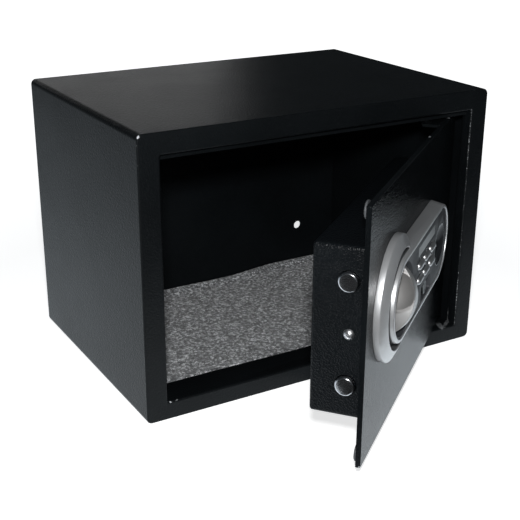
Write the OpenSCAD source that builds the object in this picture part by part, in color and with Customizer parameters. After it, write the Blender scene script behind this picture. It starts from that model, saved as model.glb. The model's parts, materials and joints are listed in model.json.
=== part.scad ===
// Sheet steel safe with a fingerprint and keypad lock, drawn with its door ajar and its bolts in.
// Millimetres, +Z up, +X to the right seen from the front, and the front faces -Y.
// The origin is the middle of the base. Door pieces are drawn with the door shut and then swung.

/* [Body] */
// Width of the body
body_w = 350; // [320:5:420]
// Depth of the body, front to back
body_d = 245; // [200:5:320]
// Height of the body
body_h = 250; // [235:5:320]
// Thickness of the body sheet
sheet = 2; // [1.5:0.25:3]
// Radius of the long folds
fold_r = 5; // [4:0.5:8]
// Radius of the edges round the front and the back
edge_r = 1.4; // [0.6:0.2:1.4]
// Diameter of the anchor holes in the back
anchor_d = 9; // [6:0.5:14]
// Distance between the anchor holes
anchor_span = 252; // [160:4:280]
// Height of the anchor holes
anchor_z = 52.5; // [30:2.5:90]
// Thickness of the felt mat
mat_t = 2.2; // [1.5:0.1:4]
// Distance from the front of the body to the felt mat
mat_front = 54; // [40:2:90]

/* [Doorway] */
// Width of the left flange
flange_left = 19.5; // [16:0.5:24]
// Width of the right flange
flange_right = 18; // [16:0.5:22]
// Height of the top flange
flange_top = 18.5; // [15:0.5:22]
// Height of the bottom flange
flange_bottom = 16.5; // [14:0.5:20]
// Depth of the returns that hold the pins and take the bolts
return_d = 30; // [28:1:40]
// Depth of the return beside the hinge, which the door edge swings behind
return_hinge_d = 12; // [10:0.5:12]
// Corner radius of the doorway
doorway_r = 1.2; // [1:0.2:3]
// Radius of the fold round the doorway
doorway_fold = 2; // [1:0.25:2]

/* [Door] */
// How far the door stands open
door_open = 38.9; // [0:0.1:95]
// Thickness of the door plate
door_t = 4; // [3:0.5:6]
// Depth of the door face behind the front of the body
door_set = 2; // [1:0.5:4]
// Gap below the door plate
door_gap = 1.6; // [1:0.1:2.4]
// Gap above the door plate, which a lip on the frame covers
top_gap = 6.4; // [5:0.1:7]
// Gap at the free edge of the door plate
free_gap = 5.7; // [4:0.1:6]
// Gap at the hinge edge of the door plate
hinge_gap = 5.5; // [5:0.1:8]
// Distance from the hinge side of the doorway to the hinge axis
pivot_in = 32; // [30:0.5:36]
// Distance from the door face back to the hinge axis
pivot_back = 20.5; // [19:0.5:22]
// Diameter of the hinge pins
pin_d = 8; // [6:0.5:10]
// Thickness of the hinge brackets
bracket_t = 2.5; // [2:0.25:3]
// Width of the hinge brackets
bracket_w = 38; // [34:1:40]
// Gap from the lower door edge to the ear of the lower hinge bracket
ear_drop = 7.5; // [5:0.5:14]
// Radius of the soft pads on the back of the door
bumper_r = 6.8; // [5:0.2:7.4]
// Thickness of the soft pads
bumper_h = 1.8; // [1.4:0.2:2.6]

/* [Lock housing] */
// Distance from the free edge of the door to the housing
box_in = 6.5; // [5:0.5:8.5]
// Width of the housing
box_w = 243; // [240:1:246]
// Height of the housing
box_h = 136; // [130:1:150]
// Depth of the housing behind the door face
box_back = 43.6; // [42:0.2:48]
// Thickness of the housing sheet
box_t = 1.5; // [1:0.25:2]
// Diameter of the locking bolts
bolt_d = 16; // [12:0.5:18]
// Distance between the two locking bolts
bolt_span = 82.8; // [76:0.4:90]
// Distance from the door face back to the bolt axes
bolt_back = 15.8; // [15.2:0.2:17]
// Length of bolt that shows when drawn in
bolt_show = 3.5; // [2:0.5:6]
// Clearance round each bolt in its holes
bolt_clear = 0.5; // [0.3:0.1:1]
// Thickness of the bolt carriage sheet
carriage_t = 2; // [1.5:0.25:2]
// Diameter of the screws in the sides of the housing
side_screw_d = 4; // [3:0.5:5]

/* [Knob] */
// Radius of the crank that moves the carriage
crank_r = 20; // [18:0.5:21]
// Turn of the knob to each side of upright
knob_half_turn = 27; // [24:1:30]
// Diameter of the spindle
spindle_d = 8; // [6:0.5:9]
// Diameter of the crank pin
crank_pin_d = 6; // [4:0.5:7]
// Radius of the arched top of the grip
grip_arch_r = 33; // [30:1:38]
// Height of the grip crest above the door face
grip_top = 20.5; // [17:0.5:22]
// Angle of the grip against the crank
grip_set = 11; // [0:1:27]
// Thickness of the grip at its middle
grip_w = 15; // [12:0.5:18]
// Depth of the thumb hollows
hollow_d = 5; // [3:0.2:5.4]
// Radius of the thumb hollows where they meet the cheeks
hollow_r = 18; // [14:0.5:19]

/* [Control pod] */
// Distance from the free edge of the door to the knob axis
knob_in = 68; // [64.5:0.5:70.5]
// Height of the pod axis above the middle of the door
pod_rise = 7; // [4:0.5:10]
// Distance from the knob to the middle of the finger well
pod_run = 133.5; // [130:0.5:140]
// Height of the pod in front of the door face
pod_h = 12; // [11:0.25:14]
// Radius of the pod ends at the door face
pod_r_foot = 36.5; // [35:0.25:38]
// Radius of the pod ends at the rim
pod_r_rim = 34; // [33:0.25:34.5]
// Radius of the opening inside the rim
rim_in_r = 31.2; // [31:0.1:31.8]
// Outer radius of the bezel ring
ring_r = 50.5; // [48:0.5:54]
// Height of the outer wall of the bezel ring
ring_wall = 5.4; // [4:0.2:6]
// Inner radius of the bezel ring dish
dish_r = 40; // [39:0.5:43]
// Height of the dish at its inner edge
dish_h = 9.6; // [8:0.2:10.4]
// Depth of the panel below the rim
panel_set = 0.8; // [0.4:0.1:1.2]
// Thickness of the panel and the walls of its pockets
panel_t = 1.5; // [1.2:0.1:2]
// Inner radius of the knob recess
knob_well_r = 29.5; // [28.5:0.1:29.6]
// Radius of the finger well at its brim
finger_r = 18.6; // [16:0.2:19.4]
// Height of the middle of the finger well above the pod axis
well_y = -1; // [-2:0.5:2]
// Width of the fingerprint sensor
sensor_w = 14; // [10:0.5:15]
// Height of the fingerprint sensor
sensor_h = 18; // [12:0.5:19]
// Width of the display window
window_w = 62; // [56:1:64]
// Height of the display window
window_h = 8.4; // [7:0.2:9]
// Length of each button
button_l = 17.5; // [14:0.5:18]
// Width of each button
button_w = 6.4; // [5:0.2:7]
// Distance from the knob to the first button column
first_button = 55; // [54:0.5:56]
// Distance between button columns
button_pitch = 21.6; // [20:0.2:22]
// Distance between button rows
button_row = 12.8; // [11:0.2:13.4]
// Travel of each button
button_travel = 0.8; // [0.4:0.1:1]
// Distance from the knob to the lock plug
lock_run = 82.5; // [80:0.5:85]
// Width of the key pocket
pocket_w = 35; // [30:0.5:38]
// Height of the key pocket
pocket_h = 14; // [13:0.2:14.6]
// Height of the lock cylinder above the floor plate of the pocket
cylinder_out = 6.4; // [2:0.2:6.6]
// Diameter of the lock plug
plug_d = 9; // [7:0.5:9.5]

/* [Battery compartment] */
// Diameter of each cell
cell_d = 14.2; // [13.5:0.1:14.5]
// Length of each cell without its cap
cell_l = 49.4; // [48:0.2:50]
// Number of cells side by side
cell_n = 4; // [2:1:4]
// Thickness of the compartment walls
tray_t = 1.5; // [1.2:0.1:2]
// Thickness of the battery cover
cover_t = 2; // [1.6:0.2:3]

/* [Solenoid] */
// Travel of the plunger
plunger_travel = 6; // [4:0.5:7]
// Diameter of the plunger
plunger_d = 6; // [4:0.5:6.5]
// Height of the solenoid frame
coil_h = 30; // [26:1:32]

/* [Hidden] */
$fn = 64;
// Gap between pieces that are assembled but not clamped
fit = 0.2;
// Radial clearance of a shaft in its bore
run_fit = 0.05;
// Length that one solid runs into another in the same piece
bite = 0.5;
// Shut gap of pieces that pass each other
pass_gap = 0.3;

front_y = -body_d / 2;
back_y = body_d / 2;
door_x0 = -body_w / 2 + flange_left;
door_x1 = body_w / 2 - flange_right;
door_z0 = flange_bottom;
door_z1 = body_h - flange_top;
doorway_w = door_x1 - door_x0;
doorway_h = door_z1 - door_z0;
doorway_x = (door_x0 + door_x1) / 2;
mid_z = (door_z0 + door_z1) / 2;

face_y = front_y + door_set;
plate_y = face_y + door_t;
plate_x0 = door_x0 + free_gap;
plate_x1 = door_x1 - hinge_gap;
plate_w = plate_x1 - plate_x0;
plate_z0 = door_z0 + door_gap;
plate_z1 = door_z1 - top_gap;
plate_h = plate_z1 - plate_z0;
plate_r = 1.2;
plate_edge = 0.8;
pivot_x = door_x1 - pivot_in;
pivot_y = face_y + pivot_back;
ear_inset = 1.5;
ear_high_z = plate_z1 - ear_inset;
ear_low_z = plate_z0 + ear_drop;
lip_gap = 0.8;
lip_in = door_set + door_t + bumper_h + fit;
swing_r = norm([pivot_in - hinge_gap, pivot_back]);
swing_y = sqrt(max(0, swing_r * swing_r - pivot_in * pivot_in));
side_return_d = min(return_hinge_d, door_set + pivot_back - swing_y - pass_gap);
ear_deep = 11;
leg_h = 28;
pin_tail = 5;
pin_collar_h = 3;
spacer_r = 7.5;
bumper_ease = 0.6;
bumper_z = [plate_z1 - bumper_r + 2, plate_z0 + 9.6];

box_x0 = plate_x0 + box_in;
box_x1 = box_x0 + box_w;
box_y = face_y + box_back;
box_fold_r = 2.5;
box_corner_r = 3;
bolt_y = face_y + bolt_back;
bolt_z = [mid_z + bolt_span / 2, mid_z - bolt_span / 2];
bolt_chamfer = 1.2;
side_screw_y = face_y + 14.6;
side_head_r = 4.3;
side_head_h = 2.6;
tab_t = 2;
tab_w = 14;

knob_x = plate_x0 + knob_in;
knob_z = mid_z + pod_rise;
stroke = 2 * crank_r * sin(knob_half_turn);
carriage_y = plate_y + 1.3;
carriage_back = carriage_y + carriage_t;
bolt_l = 38;
flange_x = box_x0 - bolt_show + bolt_l + carriage_t;
flange_deep = 18;
carriage_w = 56;
shank_r = 4;
carriage_edge = 5;
carriage_h = bolt_span + 2 * (shank_r + carriage_edge);
stud_r = 2.5;
stud_head_r = 4.5;
stud_head_h = 1.4;
stud_x = flange_x + 12;
stud_z = bolt_span / 2 - 1.5;
slot_clear = 0.2;
crank_gap = 0.8;
crank_t = 3;
crank_y = carriage_back + crank_gap;
crank_end_r = 6;
crank_head_h = 2.2;
crank_screw_d = 4;
crank_screw_l = 7;

pod_x = knob_x + pod_run;
lock_x = knob_x + lock_run;
lock_drop = rim_in_r - 2 * fit - panel_t - pocket_h / 2;
lock_z = knob_z - lock_drop;
panel_top = pod_h - panel_set;
panel_foot = 1.8;
cavity_lip = 2.8;
board_z = 2;
board_t = 1.6;
board_r = 28;
well_floor = 4.2;
sensor_at = [-3, -3];
sensor_t = 1.8;
knob_floor = 4.8;
base_disc_t = 1.3;
base_disc_r = knob_well_r - 0.7;
hub_r = 6;
grip_foot = knob_floor + pass_gap + base_disc_t;
grip_tip = 26;
grip_tip_w = 7;
hollow_y = 8.5;
hollow_z = 4;
button_x = [for (i = [0:2]) first_button + i * button_pitch];
upper_row = 8.6;
button_y = [upper_row, upper_row - button_row];
button_lift = 2.8;
button_stem_r = 1.6;
switch_h = 1.4;
window_x = 77.6;
window_y = 21;
window_t = 1;
module_h = 5;
cable_at = [112, -3];
cable_d = 8;
boss_at = [[38, 24.3], [38, -24.3], [114, 24.3], [114, -24.3]];
boss_r = 3.2;
pod_screw_r = 1.5;
pod_screw_head_r = 2.8;
pod_screw_head_h = 1.6;
pocket_floor = 4;
cylinder_r = 6;
cylinder_nut_r = 8.5;
cylinder_nut_t = 3;
cylinder_tail = 14;
cam_t = 2;
cam_l = 13;
cam_w = 7;
cylinder_top = pocket_floor + cylinder_out;
cam_reach = norm([cam_l, cam_w / 2]);

plunger_off = 12.5;
plunger_x = lock_x - plunger_off;
tongue_top = knob_z + 2;
tongue_h = 14;
stop_h = 6;
stop_t = 2;
stop_x = plunger_x + stroke - plunger_d / 2 - pass_gap - stop_t;
stop_back = carriage_y + 9.2;
plunger_y = plate_y + 8;
plunger_tip = tongue_top + plunger_travel + pass_gap;
coil_frame_w = 22;
coil_frame_d = 15;
fork_t = 1.5;
fork_top = tongue_top + stop_h + plunger_travel + pass_gap + fork_t;
coil_sheet = 1.5;
coil_r = 6.5;
spring_r = 4.2;
spring_wire = 0.8;
spring_turns = 4;
spring_h = 4;
collar_r = 4.6;
collar_h = 1.2;
coil_z = fork_top + collar_h + fit + spring_h;
fork_w = 8;
fork_y = plate_y + 11.6;
cam_y = plate_y + cylinder_tail;
foot_z = lock_z + cam_reach + pass_gap;

cell_pitch = cell_d + 0.8;
contact_t = 0.5;
cell_spring_h = 3;
cell_cap_h = 1;
tray_w = cell_n * cell_pitch + 0.4;
tray_h = cell_l + cell_cap_h + cell_spring_h + 2 * contact_t + 2 * fit;
tray_deep = cell_d + 1.2;
tray_x = box_x1 - box_t - tray_w / 2 - 12;
tray_z = mid_z;
tray_lip = 4;
tray_lip_t = 1;
cover_y = box_y + tray_lip_t + pass_gap;
knuckle_r = 2.3;
cover_pin_r = 1;
cover_w = tray_w + 2 * tray_lip;
cover_h = tray_h + 2 * tray_lip;
hinge_z = tray_z - cover_h / 2 - knuckle_r - 0.4;
hinge_y = cover_y + cover_t / 2;
knuckle_l = 12;

reset_off = [24, 14];
reset_x = plunger_x + reset_off[0];
reset_z = coil_z + reset_off[1];
reset_r = 3.6;
reset_show = 2;
reset_travel = 1.5;

black = [0.16, 0.17, 0.18];
silver = [0.72, 0.73, 0.74];
slate = [0.27, 0.28, 0.30];
zinc = [0.66, 0.67, 0.68];
chrome = [0.80, 0.81, 0.82];

// Rectangle with rounded corners, centred
module rounded_rect(w, h, r) {
    square([w - 2 * r, h], center = true);
    square([w, h - 2 * r], center = true);
    for (x = [-1, 1], y = [-1, 1])
        translate([x * (w / 2 - r), y * (h / 2 - r)])
            circle(r);
}

// Section of a plate edge whose outer top corner is rounded
module edge_section(run, t, r) {
    square([run - r, t]);
    square([run, t - r]);
    translate([run - r, t - r])
        intersection() {
            circle(r);
            square(r);
        }
}

// Section of the cut that rounds the folded edge of an opening
module fold_section(run, r) {
    difference() {
        square([run + r, r + 1]);
        translate([run + r, 0])
            circle(r);
    }
}

// Plate with an edge section laid along its sides and turned round its corners
module edged_plate(w, h, t, corner) {
    translate([-w / 2 + corner, -h / 2 + corner, 0])
        cube([w - 2 * corner, h - 2 * corner, t]);
    for (side = [0, 1])
        mirror([side, 0, 0])
            translate([w / 2 - corner, h / 2 - corner, 0])
                rotate([90, 0, 0])
                    linear_extrude(h - 2 * corner)
                        children();
    for (side = [0, 1])
        mirror([0, side, 0])
            translate([-w / 2 + corner, h / 2 - corner, 0])
                rotate([90, 0, 90])
                    linear_extrude(w - 2 * corner)
                        children();
    for (x = [0, 1], y = [0, 1])
        mirror([x, 0, 0])
            mirror([0, y, 0])
                translate([w / 2 - corner, h / 2 - corner, 0])
                    rotate_extrude(angle = 90)
                        children();
}

// Flat plate with rounded corners and a rounded edge round its upper face
module eased_plate(w, h, t, corner, edge) {
    edged_plate(w, h, t, corner)
        edge_section(corner, t, edge);
}

// Slot along x with round ends, given by the path of its centre
module slot_cut(x0, x1, r, h) {
    for (x = [x0, x1])
        translate([x, 0, 0])
            cylinder(r = r, h = h);
    translate([x0, -r, 0])
        cube([x1 - x0, 2 * r, h]);
}

// Half of a profile turned round both ends of a run along x and drawn out between them
module stadium_sweep(points, run) {
    for (x = [0, run])
        translate([x, 0, 0])
            rotate_extrude()
                polygon(points);
    rotate([90, 0, 90])
        linear_extrude(run) {
            polygon(points);
            mirror([1, 0])
                polygon(points);
        }
}

// Moves pieces that are drawn on the shut door to where the door stands
module on_door() {
    translate([pivot_x, pivot_y, 0])
        rotate([0, 0, door_open])
            translate([-pivot_x, -pivot_y, 0])
                children();
}

// Frame on the door face with x along the door, y up and z outwards, from the knob axis
module on_face() {
    on_door()
        translate([knob_x, face_y, knob_z])
            rotate([90, 0, 0])
                children();
}

// Body

module body_shell() {
    color(black)
        translate([0, back_y - sheet, body_h / 2])
            rotate([90, 0, 0])
                linear_extrude(body_d - 2 * sheet)
                    difference() {
                        rounded_rect(body_w, body_h, fold_r);
                        rounded_rect(body_w - 2 * sheet, body_h - 2 * sheet, fold_r - sheet);
                    }
}

module doorway_tube(grow, deep) {
    translate([doorway_x, front_y + deep, mid_z])
        rotate([90, 0, 0])
            linear_extrude(deep)
                rounded_rect(doorway_w + 2 * grow, doorway_h + 2 * grow, doorway_r + grow);
}

// Front sheet with the doorway cut out, its edge rounded and its returns folded in
module frame_sheet() {
    difference() {
        union() {
            translate([0, front_y + sheet, body_h / 2])
                rotate([90, 0, 0])
                    eased_plate(body_w, body_h, sheet, fold_r, edge_r);
            difference() {
                doorway_tube(sheet, return_d);
                doorway_tube(sheet + 1, sheet / 2);
            }
        }
        translate([0, -1, 0])
            doorway_tube(0, return_d + 2);
        translate([doorway_x, front_y + doorway_fold, mid_z])
            rotate([90, 0, 0])
                edged_plate(doorway_w, doorway_h, doorway_fold + 1, doorway_r)
                    fold_section(doorway_r, doorway_fold);
        translate([door_x1 - doorway_r, front_y + side_return_d, door_z0 - sheet - 1])
            cube([doorway_r + sheet + 1, return_d, doorway_h + 2 * sheet + 2]);
    }
}

module front_frame() {
    lip_h = top_gap - lip_gap;
    color(black)
        difference() {
            union() {
                frame_sheet();
                translate([door_x0 - bite, front_y + lip_in, door_z1 - lip_h])
                    cube([doorway_w + 2 * bite, sheet, lip_h + bite]);
            }
            for (z = bolt_z)
                translate([door_x0 - sheet - 1, bolt_y, z])
                    rotate([0, 90, 0])
                        cylinder(d = bolt_d + 2 * bolt_clear + 1, h = sheet + 2);
            translate([pivot_x, pivot_y, door_z0 - sheet - 1])
                cylinder(r = pin_d / 2 + run_fit, h = doorway_h + 2 * sheet + 2);
        }
}

module back_panel() {
    color(black)
        difference() {
            translate([0, back_y - sheet, body_h / 2])
                rotate([-90, 0, 0])
                    eased_plate(body_w, body_h, sheet, fold_r, edge_r);
            for (side = [-1, 1])
                translate([side * anchor_span / 2, back_y - sheet - 1, anchor_z])
                    rotate([-90, 0, 0])
                        cylinder(d = anchor_d, h = sheet + 2);
        }
}

module floor_mat() {
    inset = sheet + fit;
    color([0.55, 0.56, 0.58])
        translate([0, back_y - sheet - 1, body_h / 2])
            rotate([90, 0, 0])
                linear_extrude(body_d - mat_front - sheet - 1)
                    intersection() {
                        rounded_rect(body_w - 2 * inset, body_h - 2 * inset, fold_r - inset);
                        translate([-body_w / 2, -body_h / 2])
                            square([body_w, inset + mat_t]);
                    }
}

// Door and hinges

module door_plate() {
    tab_x = box_x0 + box_t + fit;
    color(black)
        on_door()
            difference() {
                union() {
                    translate([(plate_x0 + plate_x1) / 2, plate_y, (plate_z0 + plate_z1) / 2])
                        rotate([90, 0, 0])
                            eased_plate(plate_w, plate_h, door_t, plate_r, plate_edge);
                    for (x = [tab_x, box_x1 - box_t - fit - tab_t])
                        translate([x, plate_y - bite, mid_z - tab_w / 2])
                            cube([tab_t, side_screw_y - plate_y + tab_w / 2 + bite, tab_w]);
                }
                for (x = [tab_x, box_x1 - box_t - fit - tab_t])
                    translate([x - 1, side_screw_y, mid_z])
                        rotate([0, 90, 0])
                            cylinder(d = side_screw_d, h = tab_t + 2);
                translate([knob_x, face_y - 1, knob_z])
                    rotate([-90, 0, 0])
                        cylinder(d = spindle_d + 4, h = door_t + 2);
                translate([lock_x, face_y - 1, lock_z])
                    rotate([-90, 0, 0])
                        cylinder(r = cylinder_r + run_fit, h = door_t + 2);
                for (p = boss_at)
                    translate([knob_x + p[0], face_y - 1, knob_z + p[1]])
                        rotate([-90, 0, 0])
                            cylinder(r = pod_screw_r + fit, h = door_t + 2);
                translate([knob_x + cable_at[0], face_y - 1, knob_z + cable_at[1]])
                    rotate([-90, 0, 0])
                        cylinder(d = cable_d, h = door_t + 2);
            }
}

function stud_places() = [
    [stud_x, mid_z + stud_z],
    [stud_x, mid_z - stud_z],
    [plunger_x - 16, tongue_top - tongue_h / 2]];

// Bracket with one leg on the door plate and an ear that carries the pin; up is 1 or -1
module hinge_bracket(ear_z, up) {
    ear_z0 = up > 0 ? ear_z - bracket_t : ear_z;
    color(black)
        on_door()
            difference() {
                union() {
                    translate([pivot_x - bracket_w / 2 - 5, plate_y, up > 0 ? ear_z - leg_h : ear_z])
                        cube([bracket_w, bracket_t, leg_h]);
                    translate([pivot_x - bracket_w / 2 - 5, plate_y, ear_z0])
                        cube([bracket_w, pivot_y - plate_y, bracket_t]);
                    translate([pivot_x, pivot_y, ear_z0])
                        cylinder(r = ear_deep, h = bracket_t);
                }
                translate([pivot_x, pivot_y, ear_z - bracket_t - 1])
                    cylinder(r = pin_d / 2 + run_fit, h = 2 * bracket_t + 2);
            }
}

module hinge_bracket_upper() {
    hinge_bracket(ear_high_z, 1);
}

module hinge_bracket_lower() {
    hinge_bracket(ear_low_z, -1);
}

// Pin with a turned collar inside the ear; up is 1 or -1 and end_z is the outer end
module hinge_pin(ear_z, end_z, up) {
    inner = up > 0 ? ear_z - bracket_t : ear_z + bracket_t;
    color(chrome)
        on_door()
            translate([pivot_x, pivot_y, 0]) {
                translate([0, 0, min(inner - up * pin_tail, end_z)])
                    cylinder(d = pin_d, h = abs(end_z - inner + up * pin_tail));
                translate([0, 0, up > 0 ? inner - fit - pin_collar_h : inner + fit])
                    cylinder(d = pin_d + 3, h = pin_collar_h);
            }
}

module hinge_pin_upper() {
    hinge_pin(ear_high_z, door_z1 + sheet + 1, 1);
}

module hinge_pin_lower() {
    hinge_pin(ear_low_z, door_z0 - sheet - 1, -1);
}

// Plain bush that carries the door on the bottom return
module hinge_spacer() {
    color([0.85, 0.84, 0.80])
        on_door()
            translate([pivot_x, pivot_y, door_z0 + fit])
                difference() {
                    cylinder(r = spacer_r, h = ear_low_z - door_z0 - 2 * fit);
                    translate([0, 0, -1])
                        cylinder(r = pin_d / 2 + run_fit, h = ear_low_z - door_z0 + 2);
                }
}

// Soft round pads between the back of the door and the lip of the frame
module door_bumpers() {
    color([0.62, 0.63, 0.65])
        on_door()
            for (z = bumper_z)
                translate([plate_x0 + bumper_r, plate_y, z])
                    rotate([-90, 0, 0])
                        rotate_extrude()
                            polygon([[0, 0], [bumper_r, 0], [bumper_r, bumper_h - bumper_ease],
                                [bumper_r - bumper_ease, bumper_h], [0, bumper_h]]);
}

// Lock housing and its works

module housing_block(inset, base) {
    w = box_w - 2 * inset;
    h = box_h - 2 * inset;
    deep = box_y - inset - plate_y + base;
    translate([(box_x0 + box_x1) / 2, plate_y - base, mid_z])
        rotate([-90, 0, 0])
            eased_plate(w, h, deep, box_corner_r - inset / 2, box_fold_r - inset / 2);
}

module lock_housing() {
    hole_w = tray_w + 2 * (tray_t + fit);
    hole_h = tray_h + 2 * (tray_t + fit);
    color(black)
        on_door()
            difference() {
                housing_block(0, 0);
                housing_block(box_t, 1);
                for (z = bolt_z)
                    translate([box_x0 - 1, bolt_y, z])
                        rotate([0, 90, 0])
                            cylinder(d = bolt_d + 2 * bolt_clear, h = box_t + 2);
                for (x = [box_x0 - 1, box_x1 - box_t - 1])
                    translate([x, side_screw_y, mid_z])
                        rotate([0, 90, 0])
                            cylinder(d = side_screw_d + 2 * fit, h = box_t + 2);
                translate([tray_x, box_y - box_t - 1, tray_z])
                    rotate([-90, 0, 0])
                        linear_extrude(box_t + 2)
                            square([hole_w, hole_h], center = true);
                translate([reset_x, box_y - box_t - 1, reset_z])
                    rotate([-90, 0, 0])
                        cylinder(r = reset_r + 1, h = box_t + 2);
            }
}

// Pan head screw along +z with a cross recess, its seat at z = 0 and its shank below
module pan_screw(shank_d, shank_l, head_r, head_h) {
    dome_r = (head_r * head_r + head_h * head_h) / (2 * head_h);
    difference() {
        intersection() {
            translate([0, 0, head_h - dome_r])
                sphere(dome_r);
            cylinder(r = head_r, h = head_h + 1);
        }
        for (a = [0, 90])
            rotate([0, 0, a])
                translate([-head_r * 0.55, -head_r * 0.11, head_h * 0.4])
                    cube([head_r * 1.1, head_r * 0.22, head_h]);
    }
    translate([0, 0, -shank_l])
        cylinder(d = shank_d, h = shank_l);
}

module housing_screws() {
    color(zinc)
        on_door()
            for (side = [-1, 1])
                translate([side < 0 ? box_x0 : box_x1, side_screw_y, mid_z])
                    rotate([0, side * 90, 0])
                        pan_screw(side_screw_d - 0.1, 6, side_head_r, side_head_h);
}

module spindle_bush() {
    color([0.85, 0.84, 0.80])
        on_door()
            translate([knob_x, plate_y, knob_z])
                rotate([90, 0, 0])
                    difference() {
                        union() {
                            cylinder(d = spindle_d + 4 - 2 * run_fit, h = door_t);
                            translate([0, 0, -1])
                                cylinder(d = spindle_d + 8, h = 1);
                        }
                        translate([0, 0, -2])
                            cylinder(r = spindle_d / 2 + run_fit, h = door_t + 3);
                    }
}

// Shouldered studs on the back of the door that hold the carriage and guide its slots
module guide_studs() {
    color(zinc)
        on_door()
            for (p = stud_places())
                translate([p[0], plate_y, p[1]])
                    rotate([-90, 0, 0]) {
                        cylinder(r = stud_r, h = carriage_back - plate_y + 2 * fit);
                        cylinder(r = stud_head_r, h = carriage_y - plate_y - fit);
                        translate([0, 0, carriage_back - plate_y + fit])
                            cylinder(r = stud_head_r, h = stud_head_h);
                    }
}

module carriage_plate() {
    translate([flange_x - carriage_t, carriage_y, mid_z - carriage_h / 2])
        cube([carriage_w, carriage_t, carriage_h]);
    translate([flange_x - carriage_t, carriage_y, mid_z - carriage_h / 2])
        cube([carriage_t, flange_deep, carriage_h]);
    translate([flange_x, carriage_y, tongue_top - tongue_h])
        cube([stop_x + stop_t - flange_x, carriage_t, tongue_h]);
    translate([stop_x, carriage_y, tongue_top - tongue_h / 2])
        cube([stop_t, stop_back - carriage_y, tongue_h / 2 + stop_h]);
}

module bolt_carriage() {
    crank_x = knob_x + crank_r * sin(knob_half_turn);
    pin_low = knob_z + crank_r * cos(knob_half_turn);
    slot_r = crank_pin_d / 2 + 0.5;
    color(zinc)
        on_door()
            difference() {
                carriage_plate();
                for (z = bolt_z)
                    translate([flange_x - carriage_t - 1, bolt_y, z])
                        rotate([0, 90, 0])
                            cylinder(r = shank_r + run_fit, h = carriage_t + 2);
                for (p = stud_places())
                    translate([0, carriage_back + 1, p[1]])
                        rotate([90, 0, 0])
                            slot_cut(p[0], p[0] + stroke, stud_r + slot_clear, carriage_t + 2);
                translate([0, carriage_back + 1, knob_z])
                    rotate([90, 0, 0])
                        slot_cut(knob_x, knob_x + stroke, spindle_d / 2 + slot_clear, carriage_t + 2);
                translate([crank_x, carriage_back + 1, 0])
                    rotate([90, -90, 0])
                        slot_cut(pin_low, knob_z + crank_r, slot_r, carriage_t + 2);
            }
}

// Locking bolt along -x with a chamfered end and a riveted shank through the carriage
module locking_bolt(z) {
    r = bolt_d / 2;
    color(chrome)
        on_door()
            translate([flange_x - carriage_t, bolt_y, z])
                rotate([0, -90, 0])
                    rotate_extrude()
                        polygon([[0, -carriage_t - 1.5], [shank_r + 1.5, -carriage_t - 1.5],
                            [shank_r + 1.5, -carriage_t], [shank_r, -carriage_t], [shank_r, 0], [r, 0],
                            [r, bolt_l - bolt_chamfer], [r - bolt_chamfer, bolt_l], [0, bolt_l]]);
}

module bolt_upper() {
    locking_bolt(bolt_z[0]);
}

module bolt_lower() {
    locking_bolt(bolt_z[1]);
}

// Control pod

module pod_cavity(r, z0, z1) {
    translate([0, 0, z0])
        stadium_sweep([[0, 0], [r, 0], [r, z1 - z0], [0, z1 - z0]], pod_run);
}

module pod_shell() {
    ease = 0.7;
    draft = (pod_r_foot - pod_r_rim) / pod_h;
    dish_lip = 0.6;
    groove = 4;
    color(silver)
        on_face()
            difference() {
                union() {
                    stadium_sweep([[0, 0], [pod_r_foot, 0], [pod_r_rim + draft * ease, pod_h - ease],
                        [pod_r_rim - ease, pod_h], [0, pod_h]], pod_run);
                    rotate_extrude()
                        polygon([[0, 0], [ring_r, 0], [ring_r - 0.2, ring_wall - 0.6],
                            [ring_r - 0.8, ring_wall], [dish_r + dish_lip, dish_h],
                            [dish_r, dish_h - dish_lip], [dish_r, groove], [0, groove]]);
                }
                pod_cavity(rim_in_r, panel_foot - fit, pod_h + 1);
                pod_cavity(rim_in_r - cavity_lip, -1, pod_h);
            }
}

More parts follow.
